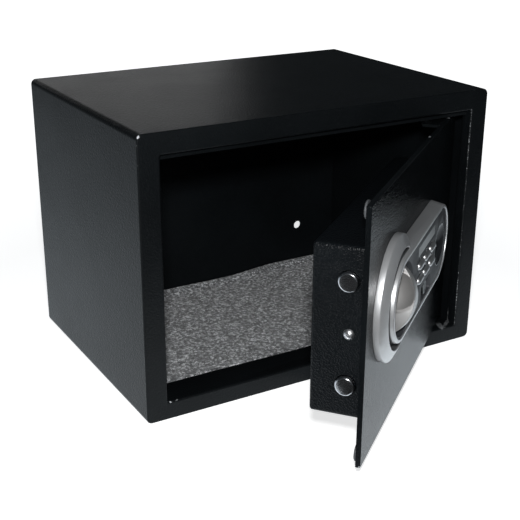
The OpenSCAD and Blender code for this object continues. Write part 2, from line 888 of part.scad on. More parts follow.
// Moulded panel with a skirt, a recess for the knob, a well for the finger and a key pocket
module face_panel() {
    color(slate)
        on_face()
            difference() {
                union() {
                    difference() {
                        pod_cavity(rim_in_r - fit, panel_foot, panel_top);
                        pod_cavity(rim_in_r - fit - panel_t, 0, panel_top - panel_t);
                    }
                    translate([0, 0, knob_floor - panel_t])
                        cylinder(r = rim_in_r - fit, h = panel_top - knob_floor + panel_t);
                    translate([pod_run, well_y, well_floor])
                        cylinder(r = finger_r + 0.9 + panel_t, h = panel_top - well_floor);
                    translate([lock_x - knob_x, -lock_drop, pocket_floor])
                        linear_extrude(panel_top - pocket_floor)
                            square([pocket_w + 2 * panel_t, pocket_h + 2 * panel_t], center = true);
                    for (p = boss_at)
                        translate([p[0], p[1], board_z + board_t])
                            cylinder(r = boss_r, h = panel_top - board_z - board_t - bite);
                }
                translate([0, 0, knob_floor])
                    cylinder(r = knob_well_r, h = pod_h);
                translate([0, 0, -1])
                    cylinder(r = hub_r + 0.5, h = pod_h);
                translate([pod_run, well_y, well_floor - 1])
                    cylinder(r = finger_r + 0.9, h = pod_h);
                translate([lock_x - knob_x, -lock_drop, pocket_floor + panel_t])
                    linear_extrude(pod_h)
                        rounded_rect(pocket_w, pocket_h, 2);
                translate([lock_x - knob_x, -lock_drop, 0])
                    cylinder(r = cylinder_r + run_fit, h = pod_h);
                translate([window_x, window_y, panel_top - window_t - 0.1])
                    linear_extrude(pod_h)
                        rounded_rect(window_w + 2 * fit, window_h + 2 * fit, 1.5);
                translate([window_x, window_y, panel_top - panel_t - 1])
                    linear_extrude(pod_h)
                        square([window_w - 4, window_h - 2], center = true);
                for (x = button_x, y = button_y)
                    translate([0, y, panel_top - panel_t - 1])
                        slot_cut(x - (button_l - button_w) / 2, x + (button_l - button_w) / 2,
                            button_w / 2 + fit, pod_h);
                for (p = boss_at)
                    translate([p[0], p[1], 0])
                        cylinder(r = pod_screw_r, h = panel_top - panel_t);
            }
}

module display_window() {
    color([0.55, 0.58, 0.58])
        on_face()
            translate([window_x, window_y, panel_top - window_t])
                linear_extrude(window_t)
                    rounded_rect(window_w, window_h, 1.4);
}

module display_module() {
    color([0.20, 0.35, 0.22])
        on_face()
            translate([window_x, window_y, board_z + board_t])
                linear_extrude(panel_top - panel_t - board_z - board_t - fit)
                    square([window_w - 2, window_h + 2], center = true);
}

module control_board() {
    color([0.10, 0.38, 0.20])
        on_face() {
            difference() {
                union() {
                    translate([rim_in_r + 2, -board_r + 1, board_z])
                        cube([pod_run - rim_in_r - 2, 2 * board_r - 2, board_t]);
                    translate([pod_run, 0, board_z])
                        cylinder(r = board_r, h = board_t);
                }
                translate([lock_x - knob_x, -lock_drop, 0])
                    cylinder(r = cylinder_r + 0.5, h = pod_h);
                for (p = boss_at)
                    translate([p[0], p[1], 0])
                        cylinder(r = pod_screw_r + fit, h = pod_h);
            }
            for (x = button_x, y = button_y)
                translate([x - 3, y - 3, board_z + board_t - 0.1])
                    cube([6, 6, switch_h + 0.1]);
        }
}

module pod_screws() {
    color(zinc)
        on_face()
            for (p = boss_at)
                translate([p[0], p[1], -door_t])
                    rotate([180, 0, 0])
                        pan_screw(2 * pod_screw_r - 0.1, door_t + panel_top - panel_t - 1,
                            pod_screw_head_r, pod_screw_head_h);
}

// Smooth bowl that guides the fingertip on to the sensor, which is set low and left in it
module finger_well() {
    bowl_d = panel_top - well_floor - 1;
    bowl_r = (finger_r * finger_r + bowl_d * bowl_d) / (2 * bowl_d);
    color([0.20, 0.21, 0.23])
        on_face()
            translate([pod_run, well_y, 0])
                difference() {
                    translate([0, 0, well_floor - fit])
                        cylinder(r = finger_r + 0.8, h = panel_top - well_floor + fit);
                    translate([0, 0, panel_top - bowl_d + bowl_r])
                        sphere(bowl_r, $fn = 128);
                    translate([sensor_at[0], sensor_at[1], well_floor - 1])
                        linear_extrude(pod_h)
                            square([sensor_w + 2 * fit, sensor_h + 2 * fit], center = true);
                }
}

module fingerprint_sensor() {
    color([0.08, 0.09, 0.11])
        on_face()
            translate([pod_run + sensor_at[0], well_y + sensor_at[1], well_floor - fit])
                linear_extrude(sensor_t)
                    square([sensor_w, sensor_h], center = true);
}

module lock_cylinder() {
    tail = cylinder_tail - cam_t;
    color(zinc)
        on_door()
            translate([lock_x, face_y, lock_z])
                rotate([90, 0, 0])
                    difference() {
                        union() {
                            translate([0, 0, -door_t - tail])
                                cylinder(r = cylinder_r, h = door_t + tail + cylinder_top);
                            translate([0, 0, -door_t - cylinder_nut_t])
                                cylinder(r = cylinder_nut_r, h = cylinder_nut_t, $fn = 6);
                        }
                        translate([0, 0, -door_t - cylinder_tail])
                            cylinder(d = plug_d + 2 * run_fit, h = door_t + cylinder_tail + pod_h);
                    }
}

module lock_plug() {
    plug_l = door_t + cylinder_tail + cam_t / 2 + cylinder_top - fit;
    slot_w = 1.8;
    slot_h = 7;
    color(chrome)
        on_door()
            translate([lock_x, face_y, lock_z])
                rotate([90, 0, 0])
                    difference() {
                        translate([0, 0, -door_t - cylinder_tail - cam_t / 2])
                            cylinder(d = plug_d, h = plug_l);
                        translate([-slot_w / 2, -slot_h / 2, -door_t - 4])
                            cube([slot_w, slot_h, pod_h + door_t + 4]);
                    }
}

// Cam on the tail of the plug: it points left at rest and lifts the fork when the key turns
module key_cam() {
    color(zinc)
        on_door()
            translate([lock_x, cam_y + cam_t, lock_z])
                rotate([90, 0, 0])
                    difference() {
                        union() {
                            cylinder(d = plug_d + 4, h = cam_t);
                            translate([-cam_l, -cam_w / 2, 0])
                                cube([cam_l, cam_w, cam_t]);
                        }
                        translate([0, 0, cam_t / 2])
                            cylinder(d = plug_d + 2 * run_fit, h = cam_t);
                    }
}

// Knob, drawn upright in the face frame and turned to its open position

module knob_turned() {
    on_face()
        rotate([0, 0, -knob_half_turn])
            children();
}

// The grip leans less than the crank, so it is set at its own angle on the spindle
module grip_turned() {
    on_face()
        rotate([0, 0, grip_set - knob_half_turn])
            children();
}

module knob_base() {
    color([0.13, 0.13, 0.14])
        knob_turned()
            difference() {
                union() {
                    translate([0, 0, knob_floor + pass_gap])
                        cylinder(r = base_disc_r, h = base_disc_t);
                    translate([0, 0, 1])
                        cylinder(r = hub_r, h = knob_floor);
                }
                cylinder(d = spindle_d + 2 * run_fit, h = pod_h);
            }
}

// Half-moon blade, thick at the middle, with a round thumb hollow on each cheek
module knob_grip() {
    plan_r = (grip_tip * grip_tip) / (grip_w - grip_tip_w) + (grip_w - grip_tip_w) / 4;
    ball_r = (hollow_r * hollow_r + hollow_d * hollow_d) / (2 * hollow_d);
    blade_h = grip_top - grip_foot;
    color(silver)
        grip_turned()
            difference() {
                intersection() {
                    translate([-grip_w / 2, 0, grip_top - grip_arch_r])
                        rotate([0, 90, 0])
                            cylinder(r = grip_arch_r, h = grip_w, $fn = 96);
                    translate([-grip_w / 2, -grip_tip, grip_foot])
                        cube([grip_w, 2 * grip_tip, blade_h + 1]);
                    translate([plan_r - grip_w / 2, 0, 0])
                        cylinder(r = plan_r, h = grip_top + 1, $fn = 180);
                    translate([grip_w / 2 - plan_r, 0, 0])
                        cylinder(r = plan_r, h = grip_top + 1, $fn = 180);
                }
                for (side = [0, 1])
                    rotate([0, 0, 180 * side])
                        translate([hollow_d - grip_w / 2 - ball_r, hollow_y, hollow_z])
                            sphere(ball_r, $fn = 96);
                translate([0, 0, grip_foot - 1])
                    cylinder(d = spindle_d - 2, h = 3);
            }
}

module knob_spindle() {
    inner_end = face_y - crank_y - crank_t;
    color(zinc)
        knob_turned()
            difference() {
                union() {
                    translate([0, 0, inner_end])
                        cylinder(d = spindle_d, h = grip_foot - fit - inner_end);
                    translate([0, 0, grip_foot - fit - bite])
                        cylinder(d = spindle_d - 2 - 2 * fit, h = 2 + bite);
                }
                translate([0, 0, inner_end - 1])
                    cylinder(d = crank_screw_d, h = crank_screw_l + 1.5);
            }
}

// Crank arm with a pin that runs in the upright slot of the carriage
module knob_crank() {
    arm_z = face_y - crank_y;
    color(zinc)
        knob_turned()
            difference() {
                union() {
                    translate([0, 0, arm_z - crank_t])
                        rotate([0, 0, 90])
                            slot_cut(0, crank_r, crank_end_r, crank_t);
                    translate([0, crank_r, arm_z - crank_t])
                        cylinder(d = crank_pin_d, h = crank_t + crank_gap + carriage_t + fit);
                }
                translate([0, 0, arm_z - crank_t - 1])
                    cylinder(d = spindle_d + 2 * run_fit, h = crank_t + 2);
            }
}

module crank_screw() {
    color(zinc)
        knob_turned()
            translate([0, 0, face_y - crank_y - crank_t])
                rotate([180, 0, 0])
                    pan_screw(crank_screw_d - 2 * run_fit, crank_screw_l, crank_end_r, crank_head_h);
}

// Button with a domed pill top, a flange that stops it under the panel and a stem to its switch
module button(x, y) {
    r = button_w / 2;
    half = (button_l - button_w) / 2;
    top = panel_top + button_lift;
    under = panel_top - panel_t - fit;
    stem_end = board_z + board_t + switch_h + button_travel + fit;
    color(chrome)
        on_face()
            translate([x, y, 0]) {
                translate([0, 0, under - 0.8])
                    slot_cut(-half, half, r, top - r - under + 0.8);
                translate([0, 0, under - 0.8])
                    slot_cut(-half - 0.4, half + 0.4, r + 0.6, 0.8);
                intersection() {
                    union() {
                        for (side = [-1, 1])
                            translate([side * half, 0, top - r])
                                sphere(r);
                        translate([-half, 0, top - r])
                            rotate([0, 90, 0])
                                cylinder(r = r, h = 2 * half);
                    }
                    translate([-button_l, -r, top - r - 0.1])
                        cube([2 * button_l, 2 * r, r + 1]);
                }
                translate([0, 0, stem_end])
                    cylinder(r = button_stem_r, h = under - stem_end);
            }
}

module button_1() {
    button(button_x[0], button_y[0]);
}

module button_2() {
    button(button_x[1], button_y[0]);
}

module button_3() {
    button(button_x[2], button_y[0]);
}

module button_4() {
    button(button_x[0], button_y[1]);
}

module button_5() {
    button(button_x[1], button_y[1]);
}

module button_6() {
    button(button_x[2], button_y[1]);
}

// Solenoid: a bent frame, a coil, and a plunger that drops behind the stop of the carriage

module solenoid_frame() {
    back = plate_y - plunger_y;
    color(zinc)
        on_door()
            translate([plunger_x, plunger_y, coil_z])
                difference() {
                    translate([-coil_frame_w / 2, back, 0])
                        cube([coil_frame_w, coil_frame_d, coil_h]);
                    translate([-coil_frame_w / 2 + coil_sheet, back + coil_sheet, coil_sheet])
                        cube([coil_frame_w, coil_frame_d, coil_h - 2 * coil_sheet]);
                    translate([0, 0, -1])
                        cylinder(r = plunger_d / 2 + run_fit, h = coil_sheet + 2);
                }
}

module solenoid_coil() {
    gap = plunger_y - plate_y - coil_sheet;
    color([0.62, 0.33, 0.14])
        on_door()
            translate([plunger_x, plunger_y, coil_z + coil_sheet])
                difference() {
                    union() {
                        cylinder(r = coil_r, h = coil_h - 2 * coil_sheet);
                        translate([-coil_r, -gap, 0])
                            cube([2 * coil_r, gap, coil_h - 2 * coil_sheet]);
                    }
                    translate([0, 0, -1])
                        cylinder(r = plunger_d / 2 + run_fit, h = coil_h);
                }
}

// Return spring, pressed short between the frame and the collar of the plunger
function coil_point(i, steps) = let (a = 360 * spring_turns * i / steps)
    [spring_r * cos(a), spring_r * sin(a), (spring_h - spring_wire) * i / steps + spring_wire / 2];

module plunger_spring() {
    steps = 20 * spring_turns;
    sides = 6;
    ring_points = [for (i = [0:steps]) for (k = [0:sides - 1])
        let (p = coil_point(i, steps), a = 360 * spring_turns * i / steps, b = 360 * k / sides)
            [p[0] + spring_wire / 2 * cos(b) * cos(a), p[1] + spring_wire / 2 * cos(b) * sin(a),
                p[2] + spring_wire / 2 * sin(b)]];
    wall = [for (i = [0:steps - 1]) for (k = [0:sides - 1]) for (half = [0, 1])
        let (a = i * sides + k, b = i * sides + (k + 1) % sides)
            half == 0 ? [a, a + sides, b] : [b, a + sides, b + sides]];
    start_cap = [for (k = [1:sides - 2]) [0, k, k + 1]];
    end_cap = [for (k = [1:sides - 2]) [steps * sides, steps * sides + k + 1, steps * sides + k]];
    color(chrome)
        on_door()
            translate([plunger_x, plunger_y, coil_z - spring_h - fit / 2])
                polyhedron(ring_points, concat(wall, start_cap, end_cap));
}

module solenoid_plunger() {
    color(chrome)
        on_door()
            translate([plunger_x, plunger_y, 0]) {
                difference() {
                    translate([0, 0, plunger_tip])
                        cylinder(d = plunger_d, h = coil_z + coil_h - 8 - plunger_tip);
                    translate([0, -plunger_d, plunger_tip])
                        rotate([0, -45, 0])
                            translate([0, 0, -plunger_d])
                                cube([plunger_d, 2 * plunger_d, plunger_d]);
                }
                translate([0, 0, fork_top])
                    cylinder(r = collar_r, h = collar_h);
            }
}

// Fork on the plunger whose foot lies over the key cam
module release_fork() {
    fork_x = plunger_x - fork_w / 2;
    foot_l = lock_x + 4 - fork_x;
    color(zinc)
        on_door()
            difference() {
                union() {
                    translate([fork_x, plunger_y - fork_w / 2, fork_top - fork_t])
                        cube([fork_w, fork_y + fork_t - plunger_y + fork_w / 2, fork_t]);
                    translate([fork_x, fork_y, foot_z])
                        cube([fork_w, fork_t, fork_top - foot_z]);
                    translate([fork_x, fork_y, foot_z])
                        cube([foot_l, cam_y + cam_t - fork_y + 1, fork_t]);
                }
                translate([plunger_x, plunger_y, fork_top - fork_t - 1])
                    cylinder(r = plunger_d / 2 + run_fit, h = fork_t + 2);
            }
}

// Battery compartment in the back of the housing

module battery_tray() {
    color([0.14, 0.14, 0.15])
        on_door()
            translate([tray_x, box_y, tray_z])
                difference() {
                    union() {
                        translate([0, -tray_deep - tray_t, 0])
                            rotate([-90, 0, 0])
                                linear_extrude(tray_deep + tray_t + tray_lip_t)
                                    square([tray_w + 2 * tray_t, tray_h + 2 * tray_t], center = true);
                        rotate([-90, 0, 0])
                            linear_extrude(tray_lip_t)
                                rounded_rect(cover_w, cover_h, 2);
                        for (side = [-1, 1])
                            translate([side * (knuckle_l + fit) - knuckle_l / 2, 0, hinge_z - tray_z])
                                tray_knuckle();
                    }
                    translate([0, -tray_deep, 0])
                        rotate([-90, 0, 0])
                            linear_extrude(tray_deep + 2)
                                square([tray_w, tray_h], center = true);
                    translate([-cover_w, hinge_y - box_y, hinge_z - tray_z])
                        rotate([0, 90, 0])
                            cylinder(r = cover_pin_r + run_fit, h = 2 * cover_w);
                }
}

module tray_knuckle() {
    translate([0, hinge_y - box_y, 0])
        rotate([0, 90, 0])
            cylinder(r = knuckle_r, h = knuckle_l);
    cube([knuckle_l, tray_lip_t, tray_z - cover_h / 2 - hinge_z + 1]);
}

module battery_contacts() {
    color(chrome)
        on_door()
            translate([tray_x, box_y - tray_deep / 2, tray_z])
                for (i = [0:cell_n - 1], end = [-1, 1])
                    translate([(i - (cell_n - 1) / 2) * cell_pitch, 0, end * (tray_h / 2)])
                        contact(end, (i % 2 == 0) == (end > 0));
}

// Flat contact for a cell's cap, or a turned spring seat for its base
module contact(end, flat) {
    translate([-5, -5, end > 0 ? -contact_t : 0])
        cube([10, 10, contact_t]);
    if (!flat)
        translate([0, 0, end > 0 ? -contact_t - cell_spring_h : 0])
            cylinder(r1 = end > 0 ? 2.5 : 4.5, r2 = end > 0 ? 4.5 : 2.5, h = cell_spring_h + contact_t);
}

module battery_cells() {
    color([0.20, 0.20, 0.22])
        on_door()
            translate([tray_x, box_y - tray_deep / 2, tray_z])
                for (i = [0:cell_n - 1])
                    translate([(i - (cell_n - 1) / 2) * cell_pitch, 0, 0])
                        mirror([0, 0, i % 2])
                            translate([0, 0, tray_h / 2 - contact_t - fit - cell_cap_h]) {
                                cylinder(r = 2.75, h = cell_cap_h);
                                translate([0, 0, -cell_l])
                                    cylinder(d = cell_d, h = cell_l);
                            }
}

module battery_cover() {
    rib_l = 16;
    rib_z = tray_z + cover_h / 2 - 5;
    color([0.14, 0.14, 0.15])
        on_door()
            difference() {
                union() {
                    translate([tray_x, cover_y, tray_z])
                        rotate([-90, 0, 0])
                            eased_plate(cover_w, cover_h, cover_t, 2, 0.6);
                    translate([tray_x - knuckle_l / 2 + fit, hinge_y, hinge_z])
                        rotate([0, 90, 0])
                            cylinder(r = knuckle_r, h = knuckle_l - 2 * fit);
                    translate([tray_x - knuckle_l / 2 + fit, hinge_y - cover_t / 2, hinge_z])
                        cube([knuckle_l - 2 * fit, cover_t, knuckle_r + 2]);
                    for (i = [0:2])
                        translate([tray_x - rib_l / 2, cover_y + cover_t - 0.2, rib_z - 3 * i])
                            cube([rib_l, 0.8, 1.2]);
                }
                translate([tray_x - cover_w, hinge_y, hinge_z])
                    rotate([0, 90, 0])
                        cylinder(r = cover_pin_r + run_fit, h = 2 * cover_w);
            }
}

module cover_pin() {
    color(zinc)
        on_door()
            translate([tray_x - 1.5 * knuckle_l - fit, hinge_y, hinge_z])
                rotate([0, 90, 0])
                    cylinder(r = cover_pin_r, h = 3 * knuckle_l + 2 * fit);
}

module reset_switch() {
    color([0.14, 0.14, 0.15])
        on_door()
            translate([reset_x, box_y, reset_z])
                rotate([90, 0, 0])
                    difference() {
                        union() {
                            translate([0, 0, -1])
                                cylinder(r = reset_r + 2.5, h = 1);
                            cylinder(r = reset_r + 1 - run_fit, h = 12);
                        }
                        translate([0, 0, -2])
                            cylinder(r = reset_r + fit, h = 10);
                    }
}

module reset_button() {
    color([0.70, 0.12, 0.10])
        on_door()
            translate([reset_x, box_y, reset_z])
                rotate([90, 0, 0])
                    translate([0, 0, -1 - reset_show])
                        cylinder(r = reset_r, h = 1 + reset_show + 8 - reset_travel - fit);
}

body_shell();
front_frame();
back_panel();
floor_mat();
door_plate();
hinge_bracket_upper();
hinge_bracket_lower();
hinge_pin_upper();
hinge_pin_lower();
hinge_spacer();
door_bumpers();
lock_housing();
housing_screws();
spindle_bush();
guide_studs();
bolt_carriage();
bolt_upper();
bolt_lower();
pod_shell();
face_panel();
display_window();
display_module();
control_board();
pod_screws();
finger_well();
fingerprint_sensor();
lock_cylinder();
lock_plug();
key_cam();
knob_base();
knob_grip();
knob_spindle();
knob_crank();
crank_screw();
button_1();
button_2();
button_3();
button_4();
button_5();
button_6();
solenoid_frame();
solenoid_coil();
plunger_spring();
solenoid_plunger();
release_fork();
battery_tray();
battery_contacts();
battery_cells();
battery_cover();
cover_pin();
reset_switch();
reset_button();
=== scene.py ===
"""Looks of a small steel safe with a fingerprint and keypad lock, dressed over its CAD frame."""

import json
import math

import bpy
from mathutils import Matrix, Quaternion, Vector


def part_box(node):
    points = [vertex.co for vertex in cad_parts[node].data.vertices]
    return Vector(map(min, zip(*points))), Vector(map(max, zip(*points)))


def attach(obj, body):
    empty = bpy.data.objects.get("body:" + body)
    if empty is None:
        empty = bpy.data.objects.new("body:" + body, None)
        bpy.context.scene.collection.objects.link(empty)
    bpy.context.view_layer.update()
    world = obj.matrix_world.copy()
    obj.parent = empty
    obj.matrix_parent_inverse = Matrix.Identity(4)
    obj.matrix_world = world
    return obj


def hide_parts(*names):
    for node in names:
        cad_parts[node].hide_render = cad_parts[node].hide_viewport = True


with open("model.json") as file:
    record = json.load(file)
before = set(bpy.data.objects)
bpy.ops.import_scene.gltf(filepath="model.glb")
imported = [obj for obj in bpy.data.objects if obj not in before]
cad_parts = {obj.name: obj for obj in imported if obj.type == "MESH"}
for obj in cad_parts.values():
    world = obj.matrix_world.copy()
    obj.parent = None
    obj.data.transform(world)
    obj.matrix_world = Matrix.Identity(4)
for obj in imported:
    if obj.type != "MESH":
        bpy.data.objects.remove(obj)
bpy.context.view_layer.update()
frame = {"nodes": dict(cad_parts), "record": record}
bpy.ops.object.select_all(action="DESELECT")

MM = 0.001  # metres in a millimetre

# How far the door stands open, the foot of its hinge line, and the knob's centre on the shut door's face
DOOR_TURN = math.radians(38.9)
PIVOT = Vector((0.125, -0.1, 0.0))
KNOB = Vector((-0.0818, -0.1205, 0.131))

# What the record says of each part: the body it rides on
RECORD = frame["record"]
BODY_OF = {part: body for body, parts in RECORD["behaviour"]["bodies"].items() for part in parts}


def on_door(point):
    """A point drawn with the door shut, carried to where the door stands."""
    turn = Matrix.Rotation(DOOR_TURN, 4, "Z")
    return PIVOT + turn @ (Vector(point) - PIVOT)


def face_point(x, y, n):
    """A point on the door's face: x along the door, y up, n outwards, in millimetres from the knob."""
    return on_door(KNOB + Vector((x * MM, -n * MM, y * MM)))


# Shader node groups

# Where a colour Mix node has its two colours and its result
MIX_FIRST, MIX_SECOND, MIX_RESULT = 6, 7, 2


def new_group(name, inputs, outputs):
    """An empty node group with its sockets, and its two end nodes."""
    group = bpy.data.node_groups.new(name, "ShaderNodeTree")
    for label, kind, value in inputs:
        socket = group.interface.new_socket(label, in_out="INPUT", socket_type=kind)
        if value is not None:
            socket.default_value = value
    for label, kind in outputs:
        group.interface.new_socket(label, in_out="OUTPUT", socket_type=kind)
    return group, group.nodes.new("NodeGroupInput"), group.nodes.new("NodeGroupOutput")


def node(tree, kind, **settings):
    made = tree.nodes.new(kind)
    for key, value in settings.items():
        setattr(made, key, value)
    return made


def maths(tree, operation, a, b=None, clamp=False):
    made = tree.nodes.new("ShaderNodeMath")
    made.operation = operation
    made.use_clamp = clamp
    for socket, value in zip(made.inputs, (a, b)):
        if value is None:
            continue
        if isinstance(value, (int, float)):
            socket.default_value = value
        else:
            tree.links.new(value, socket)
    return made.outputs[0]


def ramp(tree, value, low, high):
    """Maps value from low..high to 0..1, clamped; low may be above high."""
    made = tree.nodes.new("ShaderNodeMapRange")
    made.inputs["From Min"].default_value = low
    made.inputs["From Max"].default_value = high
    tree.links.new(value, made.inputs["Value"])
    return made.outputs["Result"]


def build_coat_grain():
    """Height of a sprayed powder coat: round cells and a slower waviness."""
    group, ins, outs = new_group(
        "coat_grain",
        [
            ("Vector", "NodeSocketVector", None),
            ("Cells", "NodeSocketFloat", 500.0),
            ("Roundness", "NodeSocketFloat", 0.5),
        ],
        [("Height", "NodeSocketFloat"), ("Patches", "NodeSocketFloat")],
    )
    cells = node(group, "ShaderNodeTexVoronoi", feature="SMOOTH_F1")
    cells.inputs["Smoothness"].default_value = 0.6
    grain = node(group, "ShaderNodeTexNoise")
    grain.inputs["Detail"].default_value = 2.0
    slow = node(group, "ShaderNodeTexNoise")
    slow.inputs["Scale"].default_value = 14.0
    slow.inputs["Detail"].default_value = 3.0
    for texture in (cells, grain, slow):
        group.links.new(ins.outputs["Vector"], texture.inputs["Vector"])
    for texture in (cells, grain):
        group.links.new(ins.outputs["Cells"], texture.inputs["Scale"])
    mixed = group.nodes.new("ShaderNodeMix")
    group.links.new(ins.outputs["Roundness"], mixed.inputs["Factor"])
    group.links.new(grain.outputs["Fac"], mixed.inputs["A"])
    group.links.new(cells.outputs["Distance"], mixed.inputs["B"])
    group.links.new(mixed.outputs["Result"], outs.inputs["Height"])
    group.links.new(ramp(group, slow.outputs["Fac"], 0.35, 0.7), outs.inputs["Patches"])
    return group


def build_edge_wear():
    """Chips and rubbed paint along the twelve edges of a box given by its middle and half size."""
    group, ins, outs = new_group(
        "edge_wear",
        [
            ("Vector", "NodeSocketVector", None),
            ("Middle", "NodeSocketVector", None),
            ("Half", "NodeSocketVector", None),
            ("Width", "NodeSocketFloat", 0.0012),
            ("Amount", "NodeSocketFloat", 0.5),
        ],
        [("Chips", "NodeSocketFloat")],
    )
    from_middle = node(group, "ShaderNodeVectorMath", operation="SUBTRACT")
    group.links.new(ins.outputs["Vector"], from_middle.inputs[0])
    group.links.new(ins.outputs["Middle"], from_middle.inputs[1])
    size = node(group, "ShaderNodeVectorMath", operation="ABSOLUTE")
    group.links.new(from_middle.outputs[0], size.inputs[0])
    inside = node(group, "ShaderNodeVectorMath", operation="SUBTRACT")
    group.links.new(ins.outputs["Half"], inside.inputs[0])
    group.links.new(size.outputs[0], inside.inputs[1])
    parts = node(group, "ShaderNodeSeparateXYZ")
    group.links.new(inside.outputs[0], parts.inputs[0])
    x, y, z = (maths(group, "ABSOLUTE", parts.outputs[axis]) for axis in "XYZ")
    total = maths(group, "ADD", maths(group, "ADD", x, y), z)
    least = maths(group, "MINIMUM", maths(group, "MINIMUM", x, y), z)
    most = maths(group, "MAXIMUM", maths(group, "MAXIMUM", x, y), z)
    away = maths(group, "SUBTRACT", maths(group, "SUBTRACT", total, least), most)
    near = maths(group, "DIVIDE", away, ins.outputs["Width"])
    edge = ramp(group, near, 1.0, 0.35)
    specks = node(group, "ShaderNodeTexNoise")
    specks.inputs["Scale"].default_value = 260.0
    specks.inputs["Detail"].default_value = 4.0
    specks.inputs["Roughness"].default_value = 0.75
    group.links.new(ins.outputs["Vector"], specks.inputs["Vector"])
    where = node(group, "ShaderNodeTexNoise")
    where.inputs["Scale"].default_value = 22.0
    where.inputs["Detail"].default_value = 1.0
    group.links.new(ins.outputs["Vector"], where.inputs["Vector"])
    both = maths(group, "ADD", specks.outputs["Fac"], maths(group, "MULTIPLY", where.outputs["Fac"], 0.7))
    limit = maths(group, "SUBTRACT", 1.25, maths(group, "MULTIPLY", ins.outputs["Amount"], 0.55))
    over = maths(group, "MULTIPLY", maths(group, "SUBTRACT", both, limit), 14.0, clamp=True)
    group.links.new(maths(group, "MULTIPLY", over, edge), outs.inputs["Chips"])
    return group


def build_hand_marks():
    """Slow smears and fine dust that break up a gloss."""
    group, ins, outs = new_group(
        "hand_marks",
        [("Vector", "NodeSocketVector", None), ("Scale", "NodeSocketFloat", 30.0)],
        [("Smears", "NodeSocketFloat"), ("Dust", "NodeSocketFloat")],
    )
    smears = node(group, "ShaderNodeTexNoise")
    smears.inputs["Detail"].default_value = 5.0
    smears.inputs["Distortion"].default_value = 0.8
    dust = node(group, "ShaderNodeTexNoise")
    dust.inputs["Scale"].default_value = 1400.0
    dust.inputs["Detail"].default_value = 1.0
    group.links.new(ins.outputs["Vector"], smears.inputs["Vector"])
    group.links.new(ins.outputs["Vector"], dust.inputs["Vector"])
    group.links.new(ins.outputs["Scale"], smears.inputs["Scale"])
    group.links.new(ramp(group, smears.outputs["Fac"], 0.4, 0.75), outs.inputs["Smears"])
    group.links.new(ramp(group, dust.outputs["Fac"], 0.62, 0.74), outs.inputs["Dust"])
    return group


COAT_GRAIN = build_coat_grain()
EDGE_WEAR = build_edge_wear()
HAND_MARKS = build_hand_marks()


# Materials

class Finish:
    """A material being built: its tree, its shader and its place coordinates."""

    def __init__(self, name, colour, roughness, metallic=0.0, specular=0.5, door=False):
        self.material = bpy.data.materials.new(name)
        self.material.use_nodes = True
        self.tree = self.material.node_tree
        self.tree.nodes.clear()
        self.shader = self.tree.nodes.new("ShaderNodeBsdfPrincipled")
        out = self.tree.nodes.new("ShaderNodeOutputMaterial")
        self.link(self.shader.outputs[0], out.inputs["Surface"])
        self.set("Base Color", (*colour, 1.0))
        self.set("Roughness", roughness)
        self.set("Metallic", metallic)
        self.set("Specular IOR Level", specular)
        place = self.tree.nodes.new("ShaderNodeTexCoord")
        self.place = place.outputs["Object"]
        if door:
            shut = self.tree.nodes.new("ShaderNodeMapping")
            back = Matrix.Rotation(-DOOR_TURN, 3, "Z")
            shut.inputs["Rotation"].default_value = (0.0, 0.0, -DOOR_TURN)
            shut.inputs["Location"].default_value = PIVOT - back @ PIVOT
            self.link(place.outputs["Object"], shut.inputs["Vector"])
            self.place = shut.outputs["Vector"]

    def link(self, start, end):
        self.tree.links.new(start, end)

    def set(self, name, value):
        self.shader.inputs[name].default_value = value

    def group(self, tree, **values):
        made = self.tree.nodes.new("ShaderNodeGroup")
        made.node_tree = tree
        self.link(self.place, made.inputs["Vector"])
        for key, value in values.items():
            made.inputs[key].default_value = value
        return made

    def texture(self, kind, scale, **values):
        """A texture at the place coordinates; values name its settings or its sockets."""
        made = self.tree.nodes.new(kind)
        for key, value in values.items():
            if hasattr(made, key):
                setattr(made, key, value)
            else:
                made.inputs[key].default_value = value
        if "Scale" in made.inputs:
            made.inputs["Scale"].default_value = scale
        self.link(self.place, made.inputs["Vector"])
        return made

    def blend(self, mask, first, second):
        """Colour mixed from first to second by a mask; each is a colour or a socket."""
        made = self.tree.nodes.new("ShaderNodeMix")
        made.data_type = "RGBA"
        self.link(mask, made.inputs["Factor"])
        for socket, value in ((made.inputs[MIX_FIRST], first), (made.inputs[MIX_SECOND], second)):
            if isinstance(value, tuple):
                socket.default_value = (*value, 1.0)
            else:
                self.link(value, socket)
        return made.outputs[MIX_RESULT]

    def between(self, mask, first, second):
        """Number mixed from first to second by a mask."""
        made = self.tree.nodes.new("ShaderNodeMapRange")
        made.inputs["To Min"].default_value = first
        made.inputs["To Max"].default_value = second
        self.link(mask, made.inputs["Value"])
        return made.outputs["Result"]

    def bump(self, height, depth):
        made = self.tree.nodes.new("ShaderNodeBump")
        made.inputs["Distance"].default_value = depth
        made.inputs["Strength"].default_value = 1.0
        self.link(height, made.inputs["Height"])
        return made.outputs["Normal"]

    def use(self, **sockets):
        for key, socket in sockets.items():
            self.link(socket, self.shader.inputs[key.replace("_", " ")])
        return self.material


def spots(coat, places):
    """Mask of small ragged chips, each given as x, y, z and its reach in millimetres."""
    ragged = coat.texture("ShaderNodeTexNoise", 900.0, Detail=3.0)
    shift = maths(coat.tree, "MULTIPLY", maths(coat.tree, "SUBTRACT", ragged.outputs["Fac"], 0.5), 0.0035)
    mask = None
    for x, y, z, reach in places:
        away = coat.tree.nodes.new("ShaderNodeVectorMath")
        away.operation = "DISTANCE"
        away.inputs[1].default_value = (x * MM, y * MM, z * MM)
        coat.link(coat.place, away.inputs[0])
        near = maths(coat.tree, "ADD", away.outputs["Value"], shift)
        spot = ramp(coat.tree, near, reach * MM, 0.6 * reach * MM)
        mask = spot if mask is None else maths(coat.tree, "MAXIMUM", mask, spot)
    return mask


